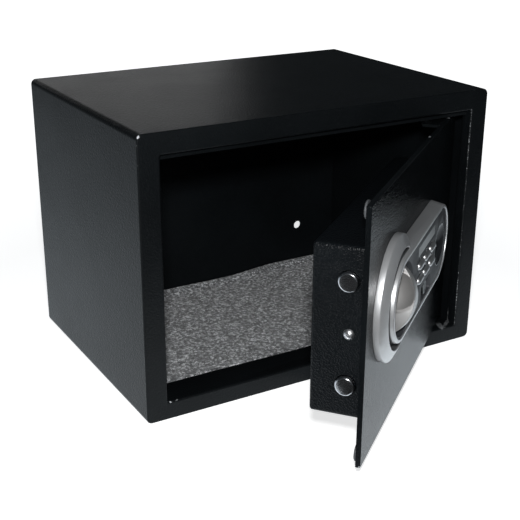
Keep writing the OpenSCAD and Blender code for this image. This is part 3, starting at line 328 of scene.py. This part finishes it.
def worn_line(coat, across, reach, extent, broken):
    """Dotted upright rub along an edge; across lists the axis and place of the two planes that meet there."""
    parts = coat.tree.nodes.new("ShaderNodeSeparateXYZ")
    coat.link(coat.place, parts.inputs[0])
    dots = coat.texture("ShaderNodeTexNoise", 900.0, Detail=3.0, Roughness=0.7)
    mask = ramp(coat.tree, dots.outputs["Fac"], *broken)
    for axis, place in across:
        off = maths(coat.tree, "ABSOLUTE", maths(coat.tree, "SUBTRACT", parts.outputs[axis], place * MM))
        mask = maths(coat.tree, "MULTIPLY", mask, ramp(coat.tree, off, reach * MM, 0.5 * reach * MM))
    middle, half = (extent[0] + extent[1]) / 2 * MM, (extent[1] - extent[0]) / 2 * MM
    off = maths(coat.tree, "ABSOLUTE", maths(coat.tree, "SUBTRACT", parts.outputs["Z"], middle))
    return maths(coat.tree, "MULTIPLY", mask, ramp(coat.tree, off, half, 0.85 * half))


BARE_STEEL = (0.50, 0.52, 0.54)
DUST = (0.20, 0.21, 0.22)


def powder_coat(name, colour, roughness, cells, depth, middle, half, amount, width=0.0012, roundness=0.4,
                door=False, marks=(), specular=0.07):
    """Sprayed black coat with orange peel, smears and dust, chipped to bright metal along a box's edges.

    Cells per metre and depth set the orange peel, middle and half the box, amount and width its chips.
    """
    coat = Finish(name, colour, roughness, specular=specular, door=door)
    grain = coat.group(COAT_GRAIN, Cells=cells, Roundness=roundness)
    smudge = coat.group(HAND_MARKS, Scale=18.0)
    wear = coat.group(EDGE_WEAR, Middle=middle, Half=half, Amount=amount, Width=width)
    paler = tuple(c * 1.5 for c in colour)
    painted = coat.blend(grain.outputs["Patches"], colour, paler)
    dusty = coat.blend(maths(coat.tree, "MULTIPLY", smudge.outputs["Dust"], 0.03), painted, DUST)
    chips = wear.outputs["Chips"]
    for mark in marks:
        chips = maths(coat.tree, "MAXIMUM", chips, mark(coat))
    worn = coat.blend(chips, dusty, BARE_STEEL)
    rough = coat.between(smudge.outputs["Smears"], roughness, roughness + 0.03)
    return coat.use(Base_Color=worn, Roughness=rough, Normal=coat.bump(grain.outputs["Height"], depth))


def stroke(coat, start, end, width):
    """Mask of a round-ended stroke from start to end, given as x, y, z in millimetres."""
    start, end = Vector(start) * MM, Vector(end) * MM
    offset = coat.tree.nodes.new("ShaderNodeVectorMath")
    offset.operation = "SUBTRACT"
    offset.inputs[1].default_value = start
    coat.link(coat.place, offset.inputs[0])
    along = coat.tree.nodes.new("ShaderNodeVectorMath")
    along.operation = "DOT_PRODUCT"
    along.inputs[1].default_value = (end - start) / (end - start).length_squared
    coat.link(offset.outputs[0], along.inputs[0])
    share = maths(coat.tree, "MULTIPLY", along.outputs["Value"], 1.0, clamp=True)
    foot = coat.tree.nodes.new("ShaderNodeVectorMath")
    foot.operation = "SCALE"
    foot.inputs[0].default_value = end - start
    coat.link(share, foot.inputs["Scale"])
    away = coat.tree.nodes.new("ShaderNodeVectorMath")
    away.operation = "DISTANCE"
    coat.link(offset.outputs[0], away.inputs[0])
    coat.link(foot.outputs[0], away.inputs[1])
    return ramp(coat.tree, away.outputs["Value"], 0.5 * width * MM, 0.3 * width * MM)


def rubbed_round_pivot(coat):
    """Pale rub that the door and its spacer have left on the bottom return beside the hinge pin."""
    scratch = coat.texture("ShaderNodeTexNoise", 260.0, Detail=4.0, Roughness=0.7)
    mask = stroke(coat, (156.8, -112.0, 16.5), (144.2, -121.6, 16.5), 4.4)
    for start, end, width in (((144.7, -113.1, 16.5), (141.6, -120.4, 16.5), 6.4),
                              ((157.2, -111.4, 18.0), (157.2, -111.4, 30.0), 1.6)):
        mask = maths(coat.tree, "MAXIMUM", mask, stroke(coat, start, end, width))
    broken = ramp(coat.tree, scratch.outputs["Fac"], 0.38, 0.56)
    return maths(coat.tree, "MULTIPLY", maths(coat.tree, "MULTIPLY", mask, broken), 0.25)


def frame_chips(coat):
    """Chips at the frame's corners and along its returns."""
    return spots(coat, [(-173.6, -122.3, 248.6, 1.5), (-147.5, -122.5, 16.8, 1.1), (-153.1, -122.5, 16.4, 1.3),
                        (157, -109.1, 173.8, 1.0), (157, -105.9, 163.7, 1.0), (157, -106.6, 151, 0.9)])


def doorway_rub(coat):
    """Dotted rub down the hinge side of the doorway, densest at its ends."""
    edge = [("X", 157.2), ("Y", -121.9)]
    mask = worn_line(coat, edge, 0.7, (17.0, 236.0), (0.58, 0.66))
    for extent in ((14.0, 66.0), (182.0, 238.0)):
        dense = worn_line(coat, edge, 0.6, extent, (0.50, 0.60))
        mask = maths(coat.tree, "MAXIMUM", mask, dense)
    return maths(coat.tree, "MULTIPLY", mask, 0.7)


def door_chips(coat):
    """Chips on the top edge of the door."""
    return spots(coat, [(125, -119, 225.1, 1.4), (51.3, -116.6, 225.1, 1.6), (-149.4, -120.3, 19.0, 1.2)])


def metal(name, colour, roughness):
    """Bare or plated metal with a fine grain and a slightly uneven sheen."""
    plate = Finish(name, colour, roughness, metallic=1.0, door=True)
    grain = plate.texture("ShaderNodeTexNoise", 900.0, Detail=2.0)
    smudge = plate.group(HAND_MARKS, Scale=60.0)
    darker = tuple(c * 0.82 for c in colour)
    shade = plate.blend(smudge.outputs["Smears"], colour, darker)
    rough = plate.between(grain.outputs["Fac"], roughness - 0.06, roughness + 0.08)
    return plate.use(Base_Color=shade, Roughness=rough, Normal=plate.bump(grain.outputs["Fac"], 0.00002))


def moulded(name, colour, roughness, depth=0.00003, cells=1500.0, specular=0.5):
    """Moulded plastic with a fine spark-eroded grain and a few smears."""
    plastic = Finish(name, colour, roughness, specular=specular, door=True)
    grain = plastic.group(COAT_GRAIN, Cells=cells, Roundness=0.25)
    smudge = plastic.group(HAND_MARKS, Scale=40.0)
    paler = tuple(c * 1.25 + 0.004 for c in colour)
    shade = plastic.blend(grain.outputs["Patches"], colour, paler)
    rough = plastic.between(smudge.outputs["Smears"], roughness, roughness + 0.12)
    return plastic.use(Base_Color=shade, Roughness=rough, Normal=plastic.bump(grain.outputs["Height"], depth))


# The groove between the escutcheon and the pod's rim, in metres: its inner and outer radius, and how far out its
# painted shade reaches
GROOVE_INNER, GROOVE_OUTER, GROOVE_HEIGHT = 0.0318, 0.0402, 0.0092

# The knob's thumb hollows: the middle of the ball that cuts each, in millimetres from the knob's centre, and in metres
# how far from there the painted shade is full and where it ends
HOLLOW_SIDE, HOLLOW_DEPTH, HOLLOW_RISE = 33.61, 4.0, 18.478
HOLLOW_FULL, HOLLOW_END = 0.0358, 0.0368


def painted_groove_shade(paint):
    """Mask of the deep groove between the round escutcheon and the pod's rim, where its shade is painted."""
    from_axis = paint.tree.nodes.new("ShaderNodeVectorMath")
    from_axis.operation = "SUBTRACT"
    from_axis.inputs[1].default_value = KNOB
    paint.link(paint.place, from_axis.inputs[0])
    across = paint.tree.nodes.new("ShaderNodeVectorMath")
    across.operation = "MULTIPLY"
    across.inputs[1].default_value = (1.0, 0.0, 1.0)
    paint.link(from_axis.outputs[0], across.inputs[0])
    radius = paint.tree.nodes.new("ShaderNodeVectorMath")
    radius.operation = "LENGTH"
    paint.link(across.outputs[0], radius.inputs[0])
    parts = paint.tree.nodes.new("ShaderNodeSeparateXYZ")
    paint.link(from_axis.outputs[0], parts.inputs[0])
    inside = ramp(paint.tree, radius.outputs["Value"], GROOVE_OUTER, GROOVE_OUTER - 0.0003)
    outside = ramp(paint.tree, radius.outputs["Value"], GROOVE_INNER, GROOVE_INNER + 0.0003)
    low = ramp(paint.tree, parts.outputs["Y"], -GROOVE_HEIGHT, -GROOVE_HEIGHT + 0.0006)
    return maths(paint.tree, "MULTIPLY", maths(paint.tree, "MULTIPLY", inside, outside), low)


def painted_hollow_shade(paint):
    """Mask of the knob's two thumb hollows, where their shade is painted."""
    mask = None
    for side in (-1.0, 1.0):
        ball = KNOB + Vector((side * HOLLOW_SIDE, -HOLLOW_DEPTH, -side * HOLLOW_RISE)) * MM
        away = paint.tree.nodes.new("ShaderNodeVectorMath")
        away.operation = "DISTANCE"
        away.inputs[1].default_value = ball
        paint.link(paint.place, away.inputs[0])
        hollow = ramp(paint.tree, away.outputs["Value"], HOLLOW_END, HOLLOW_FULL)
        mask = hollow if mask is None else maths(paint.tree, "MAXIMUM", mask, hollow)
    return mask


def silver_paint(name, colour, metallic, roughness, where, inside):
    """Metallic silver lacquer: bright flakes under a satin clear coat, with a painted shade of another colour inside a
    mask.
    """
    paint = Finish(name, colour, roughness, metallic=metallic, door=True)
    paint.set("Coat Weight", 0.8)
    paint.set("Coat Roughness", 0.3)
    flakes = paint.texture("ShaderNodeTexVoronoi", 3200.0)
    smudge = paint.group(HAND_MARKS, Scale=35.0)
    lighter, darker = (tuple(c * share for c in colour) for share in (1.12, 0.86))
    shade = paint.blend(flakes.outputs["Distance"], lighter, darker)
    shade = paint.blend(maths(paint.tree, "MULTIPLY", where(paint), 0.9), shade, inside)
    rough = paint.between(smudge.outputs["Smears"], roughness - 0.03, roughness + 0.06)
    return paint.use(Base_Color=shade, Roughness=rough, Normal=paint.bump(flakes.outputs["Distance"], 0.00002))


def felt(name):
    """Needle felt of pale and dark grey fibres with a soft nap."""
    cloth = Finish(name, (0.17, 0.175, 0.185), 0.95, specular=0.1)
    cloth.set("Sheen Weight", 0.25)
    cloth.set("Sheen Roughness", 0.6)
    fine = cloth.texture("ShaderNodeTexNoise", 360.0, Detail=3.0, Roughness=0.7)
    tufts = cloth.texture("ShaderNodeTexNoise", 180.0, Detail=3.0, Roughness=0.65, Distortion=1.5)
    slow = cloth.texture("ShaderNodeTexNoise", 26.0, Detail=2.0)
    base = cloth.blend(ramp(cloth.tree, tufts.outputs["Fac"], 0.40, 0.60), (0.050, 0.053, 0.056), (0.29, 0.305, 0.315))
    flecks = cloth.blend(ramp(cloth.tree, fine.outputs["Fac"], 0.54, 0.62), base, (0.78, 0.80, 0.83))
    pits = cloth.blend(ramp(cloth.tree, fine.outputs["Fac"], 0.46, 0.38), flecks, (0.04, 0.04, 0.045))
    worn = cloth.blend(maths(cloth.tree, "MULTIPLY", slow.outputs["Fac"], 0.2), pits, (0.12, 0.122, 0.13))
    height = maths(cloth.tree, "ADD", fine.outputs["Fac"], maths(cloth.tree, "MULTIPLY", tufts.outputs["Fac"], 1.5))
    return cloth.use(Base_Color=worn, Normal=cloth.bump(height, 0.0008))


def display_glass(name):
    """Grey reflective display behind a clear pane, switched off."""
    pane = Finish(name, (0.09, 0.095, 0.095), 0.30, door=True)
    haze = pane.texture("ShaderNodeTexNoise", 60.0, Detail=2.0)
    shade = pane.blend(haze.outputs["Fac"], (0.08, 0.085, 0.085), (0.11, 0.116, 0.114))
    rough = pane.between(haze.outputs["Fac"], 0.26, 0.38)
    return pane.use(Base_Color=shade, Roughness=rough)


def sensor_face(name):
    """Dark optical window of the fingerprint sensor with a faint grid."""
    pane = Finish(name, (0.012, 0.012, 0.018), 0.10, door=True)
    pane.set("Coat Weight", 0.8)
    pane.set("Coat Roughness", 0.04)
    grid = pane.texture("ShaderNodeTexBrick", 900.0)
    grid.inputs["Mortar Size"].default_value = 0.03
    shade = pane.blend(grid.outputs["Fac"], (0.010, 0.010, 0.016), (0.03, 0.03, 0.045))
    smudge = pane.group(HAND_MARKS, Scale=120.0)
    return pane.use(Base_Color=shade, Roughness=pane.between(smudge.outputs["Smears"], 0.08, 0.35))


def circuit_board(name):
    """Green solder mask with darker tracks."""
    board = Finish(name, (0.02, 0.13, 0.05), 0.35, door=True)
    tracks = board.texture("ShaderNodeTexBrick", 160.0)
    tracks.inputs["Mortar Size"].default_value = 0.04
    shade = board.blend(tracks.outputs["Fac"], (0.02, 0.13, 0.05), (0.012, 0.07, 0.028))
    return board.use(Base_Color=shade, Normal=board.bump(tracks.outputs["Fac"], 0.00003))


def wound_wire(name):
    """Enamelled copper wire in close turns round the coil."""
    coil = Finish(name, (0.45, 0.19, 0.06), 0.3, metallic=0.7, door=True)
    turns = coil.texture("ShaderNodeTexWave", 400.0, wave_type="BANDS", bands_direction="Z")
    shade = coil.blend(turns.outputs["Fac"], (0.24, 0.09, 0.03), (0.52, 0.24, 0.08))
    return coil.use(Base_Color=shade, Normal=coil.bump(turns.outputs["Fac"], 0.0002))


def printed_mark(name):
    """Pale screen print that is slightly worn."""
    ink = Finish(name, (0.62, 0.63, 0.64), 0.5, door=True)
    worn = ink.texture("ShaderNodeTexNoise", 900.0, Detail=2.0)
    patchy = ramp(ink.tree, worn.outputs["Fac"], 0.5, 0.7)
    return ink.use(Base_Color=ink.blend(patchy, (0.62, 0.63, 0.64), (0.40, 0.41, 0.42)))


BLACK = (0.0032, 0.0040, 0.0046)  # the powder coat's own colour; what shows in a picture is mostly what it mirrors

# Middle and half size of the boxes whose edges are chipped, the door's pieces as they stand when it is shut
BODY_BOX = (0.0, 0.0, 0.125), (0.175, 0.1225, 0.125)
HOUSING_BOX = (-0.0218, -0.0987, 0.124), (0.1215, 0.0218, 0.068)
DOOR_BOX = (0.00085, -0.1185, 0.1216), (0.15065, 0.002, 0.1035)

FINISHES = {
    "body_coat": powder_coat("body_coat", BLACK, 0.28, 620.0, 0.00033, *BODY_BOX, 0.22),
    "frame_coat": powder_coat("frame_coat", BLACK, 0.36, 620.0, 0.00040, *BODY_BOX, 0.25,
                              marks=(rubbed_round_pivot, frame_chips, doorway_rub), specular=0.15),
    "door_coat": powder_coat("door_coat", BLACK, 0.16, 600.0, 0.00048, *DOOR_BOX, 0.22,
                             width=0.0009, door=True, marks=(door_chips,), specular=0.078),
    "housing_coat": powder_coat("housing_coat", (0.0026, 0.0034, 0.0042), 0.34, 760.0, 0.0006, *HOUSING_BOX, 0.34,
                                width=0.0010, roundness=1.0, door=True, specular=0.12),
    "zinc": metal("zinc", (0.52, 0.53, 0.54), 0.38),
    "chrome": metal("chrome", (0.60, 0.62, 0.65), 0.17),
    # near-black base: painted shade, so the lock in its deep key pocket stays dark instead of mirroring the floor
    "nickel_painted_shade": metal("nickel_painted_shade", (0.05, 0.053, 0.056), 0.36),
    "keys": metal("keys", (0.62, 0.63, 0.64), 0.46),
    "plated": metal("plated", (0.72, 0.73, 0.75), 0.36),
    "nylon": moulded("nylon", (0.62, 0.60, 0.55), 0.5),
    "milky_rubber": moulded("milky_rubber", (0.05, 0.053, 0.057), 0.55, cells=900.0),
    # silver: the near-black colour inside its mask is painted shade in the groove round the escutcheon
    "silver": silver_paint("silver", (0.51, 0.52, 0.53), 0.67, 0.42, painted_groove_shade, (0.03, 0.032, 0.035)),
    # satin_silver: the darker grey inside its mask is painted shade in the knob's thumb hollows
    "satin_silver": silver_paint("satin_silver", (0.46, 0.46, 0.46), 0.7, 0.55, painted_hollow_shade, (0.25, 0.245, 0.24)),
    "slate": moulded("slate", (0.030, 0.032, 0.036), 0.5, specular=0.2),
    "dark_plastic": moulded("dark_plastic", (0.012, 0.012, 0.013), 0.5, specular=0.3),
    "smoke": moulded("smoke", (0.012, 0.013, 0.015), 0.14, depth=0.000005, specular=0.15),
    "display": display_glass("display"),
    "sensor": sensor_face("sensor"),
    "board": circuit_board("board"),
    "copper": wound_wire("copper"),
    "sleeve": moulded("sleeve", (0.05, 0.05, 0.06), 0.3, depth=0.000005),
    "red": moulded("red", (0.42, 0.02, 0.02), 0.35),
    "felt": felt("felt"),
    "print": printed_mark("print"),
}

# Finish of each CAD part
NODE_FINISH = {
    "body_shell": "body_coat", "back_panel": "body_coat", "front_frame": "frame_coat",
    "door_plate": "door_coat", "lock_housing": "housing_coat",
    "hinge_bracket_upper": "door_coat", "hinge_bracket_lower": "door_coat", "housing_screws": "plated",
    "guide_studs": "zinc",
    "pod_screws": "zinc", "lock_cylinder": "nickel_painted_shade", "key_cam": "zinc", "knob_spindle": "zinc", "knob_crank": "zinc",
    "crank_screw": "zinc", "solenoid_frame": "zinc", "release_fork": "zinc", "cover_pin": "zinc",
    "bolt_carriage": "zinc", "hinge_pin_upper": "zinc", "hinge_pin_lower": "zinc", "bolt_upper": "chrome",
    "bolt_lower": "chrome", "lock_plug": "nickel_painted_shade", "solenoid_plunger": "chrome", "plunger_spring": "chrome",
    "battery_contacts": "chrome", "hinge_spacer": "nylon", "spindle_bush": "nylon", "door_bumpers": "milky_rubber",
    "pod_shell": "silver", "knob_grip": "satin_silver", "face_panel": "slate", "knob_base": "dark_plastic",
    "finger_well": "smoke", "fingerprint_sensor": "sensor", "display_window": "display", "display_module": "board",
    "control_board": "board", "solenoid_coil": "copper", "battery_tray": "dark_plastic",
    "battery_cover": "dark_plastic", "reset_switch": "dark_plastic", "battery_cells": "sleeve", "reset_button": "red",
    "floor_mat": "felt",
}
NODE_FINISH.update({f"button_{number}": "keys" for number in range(1, 7)})

for name, finish in NODE_FINISH.items():
    mesh = frame["nodes"][name].data
    mesh.materials.clear()
    mesh.materials.append(FINISHES[finish])


# Pieces modelled here

def only(piece):
    bpy.ops.object.select_all(action="DESELECT")
    piece.select_set(True)
    bpy.context.view_layer.objects.active = piece


def apply_all(piece):
    only(piece)
    for modifier in list(piece.modifiers):
        bpy.ops.object.modifier_apply(modifier=modifier.name)


def settle(piece, body, finish):
    """Puts the piece's place into its mesh, then gives it its finish and the body it rides on."""
    only(piece)
    bpy.ops.object.transform_apply(location=True, rotation=True, scale=True)
    piece.data.materials.clear()
    piece.data.materials.append(FINISHES[finish])
    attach(piece, body)
    piece.select_set(False)


def ease(name, width):
    """Shows a copy of a CAD piece with its sharp edges broken in the piece's place."""
    source = frame["nodes"][name]
    piece = bpy.data.objects.new(name + "_eased", source.data.copy())
    bpy.context.scene.collection.objects.link(piece)
    only(piece)
    bpy.ops.object.mode_set(mode="EDIT")
    bpy.ops.mesh.select_all(action="SELECT")
    bpy.ops.mesh.remove_doubles(threshold=0.000002)
    bpy.ops.mesh.dissolve_limited(angle_limit=math.radians(0.6))
    bpy.ops.object.mode_set(mode="OBJECT")
    bevel = piece.modifiers.new("broken edge", "BEVEL")
    bevel.width = width
    bevel.segments = 2
    bevel.limit_method = "ANGLE"
    bevel.angle_limit = math.radians(32.0)
    bevel.use_clamp_overlap = True
    bevel.harden_normals = False
    apply_all(piece)
    bpy.ops.object.shade_smooth_by_angle(angle=math.radians(34.0))
    piece.data.materials.clear()
    piece.data.materials.append(FINISHES[NODE_FINISH[name]])
    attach(piece, BODY_OF[name])
    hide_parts(name)
    piece.select_set(False)


# Lifts of the mat's back edge: where each starts from the left, how high it goes, and its reach
MAT_CURLS = ((-1.0, 0.0036, 0.012), (0.10, 0.0048, 0.075))
MAT_MARGIN = 0.0005


def curl_up(piece, back, left_end, lift, reach):
    """Raises the mat's back edge, right of left_end, with a soft fall over the reach."""
    bpy.ops.object.mode_set(mode="EDIT")
    bpy.ops.mesh.select_all(action="DESELECT")
    bpy.ops.object.mode_set(mode="OBJECT")
    for corner in piece.data.vertices:
        corner.select = corner.co.y > back and corner.co.x > left_end
    bpy.ops.object.mode_set(mode="EDIT")
    bpy.ops.transform.translate(value=(0.0, 0.0, lift), use_proportional_edit=True,
                                proportional_edit_falloff="SMOOTH", proportional_size=reach)
    bpy.ops.object.mode_set(mode="OBJECT")


def make_mat():
    """Felt mat: a slab with a soft edge, an uneven nap, and its back edge curled up."""
    low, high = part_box("floor_mat")
    size = high - low
    bpy.ops.mesh.primitive_grid_add(x_subdivisions=110, y_subdivisions=60, size=1.0,
                                    location=((low.x + high.x) / 2, (low.y + high.y) / 2, high.z - 0.0003))
    piece = bpy.context.active_object
    piece.name = "felt_mat"
    piece.scale = (size.x - 2 * MAT_MARGIN, size.y - 2 * MAT_MARGIN, 1.0)
    bpy.ops.object.transform_apply(location=True, rotation=True, scale=True)
    for left_end, lift, reach in MAT_CURLS:
        curl_up(piece, high.y - 0.002, left_end, lift, reach)
    nap = bpy.data.textures.new("nap", "CLOUDS")
    nap.noise_scale = 0.02
    wave = piece.modifiers.new("nap", "DISPLACE")
    wave.texture = nap
    wave.texture_coords = "LOCAL"
    wave.strength = 0.0006
    wave.mid_level = 0.5
    body = piece.modifiers.new("thickness", "SOLIDIFY")
    body.thickness = size.z - 0.0008
    body.offset = -1.0
    edge = piece.modifiers.new("soft edge", "BEVEL")
    edge.width = 0.0006
    edge.segments = 2
    edge.limit_method = "ANGLE"
    apply_all(piece)
    bpy.ops.object.shade_smooth_by_angle(angle=math.radians(50.0))
    settle(piece, "safe_body", "felt")
    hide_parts("floor_mat")


# The numerals' first place, their step along the row, the two rows' heights and how far out the panel lies
MARK_START, MARK_STEP, MARK_ROWS, MARK_OUT = 55.0, 21.6, (13.6, 0.9), 11.24


def make_key_marks():
    """Small printed numerals above the keys."""
    marks = []
    for number in range(6):
        x, y = MARK_START + MARK_STEP * (number % 3), MARK_ROWS[number // 3]
        bpy.ops.object.text_add(location=(0, 0, 0))
        text = bpy.context.active_object
        text.data.body = str(number + 1)
        text.data.size = 0.0034
        text.data.align_x = "CENTER"
        text.data.align_y = "CENTER"
        text.data.extrude = 0.00002
        bpy.ops.object.convert(target="MESH")
        place = Matrix.Rotation(DOOR_TURN, 4, "Z") @ Matrix.Rotation(math.radians(90), 4, "X")
        place.translation = face_point(x, y, MARK_OUT)
        text.matrix_world = place
        marks.append(text)
    bpy.ops.object.select_all(action="DESELECT")
    for mark in marks:
        mark.select_set(True)
    bpy.context.view_layer.objects.active = marks[0]
    bpy.ops.object.join()
    piece = bpy.context.active_object
    piece.name = "key_marks"
    settle(piece, "door", "print")


# Width of the broken edge on each CAD piece that gets one
EASED = {"front_frame": 0.0008, "pod_shell": 0.0004, "face_panel": 0.0004, "knob_grip": 0.0009,
         "bolt_upper": 0.0005, "bolt_lower": 0.0005}

make_mat()
make_key_marks()
for name, width in EASED.items():
    ease(name, width)


# Floor, light and camera

DAYLIGHT = (0.81, 0.92, 1.0, 1.0)

# The floor is lit by its own glow: its strength near the object and far off, first as the camera sees it and then as
# the object mirrors it, each with the distances from the origin between which it changes
SEEN_REACH, SEEN_GLOW = (0.35, 0.8), (0.72, 1.0)
MIRROR_REACH, MIRROR_GLOW = (0.28, 0.65), (0.72, 0.42)
FALL_REACH, FALL_SHARE = (0.9, 1.5), (1.0, 0.2)
FRONT_REACH, FRONT_SHARE = (-0.30, -0.05), (0.78, 1.0)

# The sky: its mirrored strength from the horizon up, and the light that matt surfaces gather from it
SKY_HEIGHT, SKY_GLOW, SKY_GATHERED = (0.0, 0.06), (0.2, 0.03), 0.12


def level(tree, value, reach, strength):
    """Number that goes between the two of strength as value goes between the two of reach."""
    made = tree.nodes.new("ShaderNodeMapRange")
    for label, number in zip(("From Min", "From Max", "To Min", "To Max"), (*reach, *strength)):
        made.inputs[label].default_value = number
    tree.links.new(value, made.inputs["Value"])
    return made.outputs["Result"]


def by_ray(tree, looked_at, mirrored, gathered):
    """Strength for the camera, for reflections and clear panes, and for gathered light."""
    path = tree.nodes.new("ShaderNodeLightPath")
    glossy = maths(tree, "MAXIMUM", path.outputs["Is Glossy Ray"], path.outputs["Is Transmission Ray"])
    rest = maths(tree, "SUBTRACT", maths(tree, "SUBTRACT", 1.0, path.outputs["Is Camera Ray"]), glossy, clamp=True)
    total = maths(tree, "MULTIPLY", path.outputs["Is Camera Ray"], looked_at)
    total = maths(tree, "ADD", total, maths(tree, "MULTIPLY", glossy, mirrored))
    return maths(tree, "ADD", total, maths(tree, "MULTIPLY", rest, gathered))


def ray_colour(tree):
    """White where the camera looks, a cool daylight white for all else."""
    path = tree.nodes.new("ShaderNodeLightPath")
    made = tree.nodes.new("ShaderNodeMix")
    made.data_type = "RGBA"
    made.inputs[MIX_FIRST].default_value = DAYLIGHT
    made.inputs[MIX_SECOND].default_value = (1.0, 1.0, 1.0, 1.0)
    tree.links.new(path.outputs["Is Camera Ray"], made.inputs["Factor"])
    return made.outputs[MIX_RESULT]


def make_stage():
    """White floor and sky that keep the object's shadow and give its black paint something to mirror."""
    bpy.ops.mesh.primitive_plane_add(size=60.0, location=(0, 0, 0))
    floor = bpy.context.active_object
    floor.name = "floor"
    paper = bpy.data.materials.new("paper")
    paper.use_nodes = True
    tree = paper.node_tree
    shader = tree.nodes["Principled BSDF"]
    shader.inputs["Base Color"].default_value = (0.82, 0.82, 0.82, 1.0)
    shader.inputs["Roughness"].default_value = 1.0
    shader.inputs["Specular IOR Level"].default_value = 0.0
    place = tree.nodes.new("ShaderNodeTexCoord")
    reach = tree.nodes.new("ShaderNodeVectorMath")
    reach.operation = "LENGTH"
    tree.links.new(place.outputs["Object"], reach.inputs[0])
    glow = level(tree, reach.outputs["Value"], SEEN_REACH, SEEN_GLOW)
    near = level(tree, reach.outputs["Value"], MIRROR_REACH, MIRROR_GLOW)
    mirrored = maths(tree, "MULTIPLY", near, level(tree, reach.outputs["Value"], FALL_REACH, FALL_SHARE))
    ground = tree.nodes.new("ShaderNodeSeparateXYZ")
    tree.links.new(place.outputs["Object"], ground.inputs[0])
    mirrored = maths(tree, "MULTIPLY", mirrored, level(tree, ground.outputs["Y"], FRONT_REACH, FRONT_SHARE))
    tree.links.new(ray_colour(tree), shader.inputs["Emission Color"])
    tree.links.new(by_ray(tree, glow, mirrored, 0.0), shader.inputs["Emission Strength"])
    floor.data.materials.append(paper)
    world = bpy.data.worlds.new("studio")
    bpy.context.scene.world = world
    world.use_nodes = True
    tree = world.node_tree
    background = tree.nodes["Background"]
    tree.links.new(ray_colour(tree), background.inputs["Color"])
    place = tree.nodes.new("ShaderNodeTexCoord")
    parts = tree.nodes.new("ShaderNodeSeparateXYZ")
    tree.links.new(place.outputs["Generated"], parts.inputs[0])
    horizon = level(tree, parts.outputs["Z"], SKY_HEIGHT, SKY_GLOW)
    tree.links.new(by_ray(tree, 1.0, horizon, SKY_GATHERED), background.inputs["Strength"])


def make_flag(name, low, high):
    """Black card on the floor, out of the picture, that only reflections see."""
    bpy.ops.mesh.primitive_plane_add(size=1.0, location=((low[0] + high[0]) / 2, (low[1] + high[1]) / 2, 0.002))
    card = bpy.context.active_object
    card.name = name
    card.scale = (high[0] - low[0], high[1] - low[1], 1.0)
    bpy.ops.object.transform_apply(location=True, rotation=True, scale=True)
    velvet = bpy.data.materials.new("velvet")
    velvet.use_nodes = True
    shader = velvet.node_tree.nodes["Principled BSDF"]
    shader.inputs["Base Color"].default_value = (0.02, 0.02, 0.02, 1.0)
    shader.inputs["Roughness"].default_value = 1.0
    shader.inputs["Specular IOR Level"].default_value = 0.0
    card.data.materials.append(velvet)
    for ray in ("camera", "diffuse", "shadow", "transmission"):
        setattr(card, "visible_" + ray, False)


def make_lamp(name, place, aim, size, power):
    """Rectangular lamp that looks from its place at its aim."""
    data = bpy.data.lights.new(name, "AREA")
    data.shape = "RECTANGLE"
    data.size, data.size_y = size
    data.energy = power
    lamp = bpy.data.objects.new(name, data)
    bpy.context.scene.collection.objects.link(lamp)
    lamp.location = place
    lamp.rotation_mode = "QUATERNION"
    lamp.rotation_quaternion = (Vector(aim) - Vector(place)).to_track_quat("-Z", "Y")
    lamp.visible_camera = False


def make_camera():
    """The photo's view, from a camera fitted to the body's edges."""
    data = bpy.data.cameras.new("camera")
    camera = bpy.data.objects.new("camera", data)
    bpy.context.scene.collection.objects.link(camera)
    place, aim = Vector((-0.474, -0.817, 0.442)), Vector((0.0056, 0.0, 0.0729))
    camera.location = place
    camera.rotation_mode = "QUATERNION"
    look = (aim - place).to_track_quat("-Z", "Y")
    camera.rotation_quaternion = look @ Quaternion((0, 0, 1), math.radians(0.25))
    data.lens = 70.75
    data.sensor_width = 36.0
    bpy.context.scene.camera = camera


make_stage()
make_flag("flag left", (-2.5, -2.5), (-0.13, -0.295))
make_flag("flag front", (-0.13, -2.5), (2.5, -0.33))
make_flag("flag right", (0.47, -0.33), (2.5, 2.5))
make_lamp("flash", (-0.474, -0.817, 0.543), (0, -0.05, 0.12), (0.06, 0.06), 8.4)
make_lamp("rear softbox", (0.45, 2.85, 0.72), (0, 0, 0.2), (2.0, 0.4), 3.1)
make_camera()
bpy.context.scene.view_settings.view_transform = "Standard"
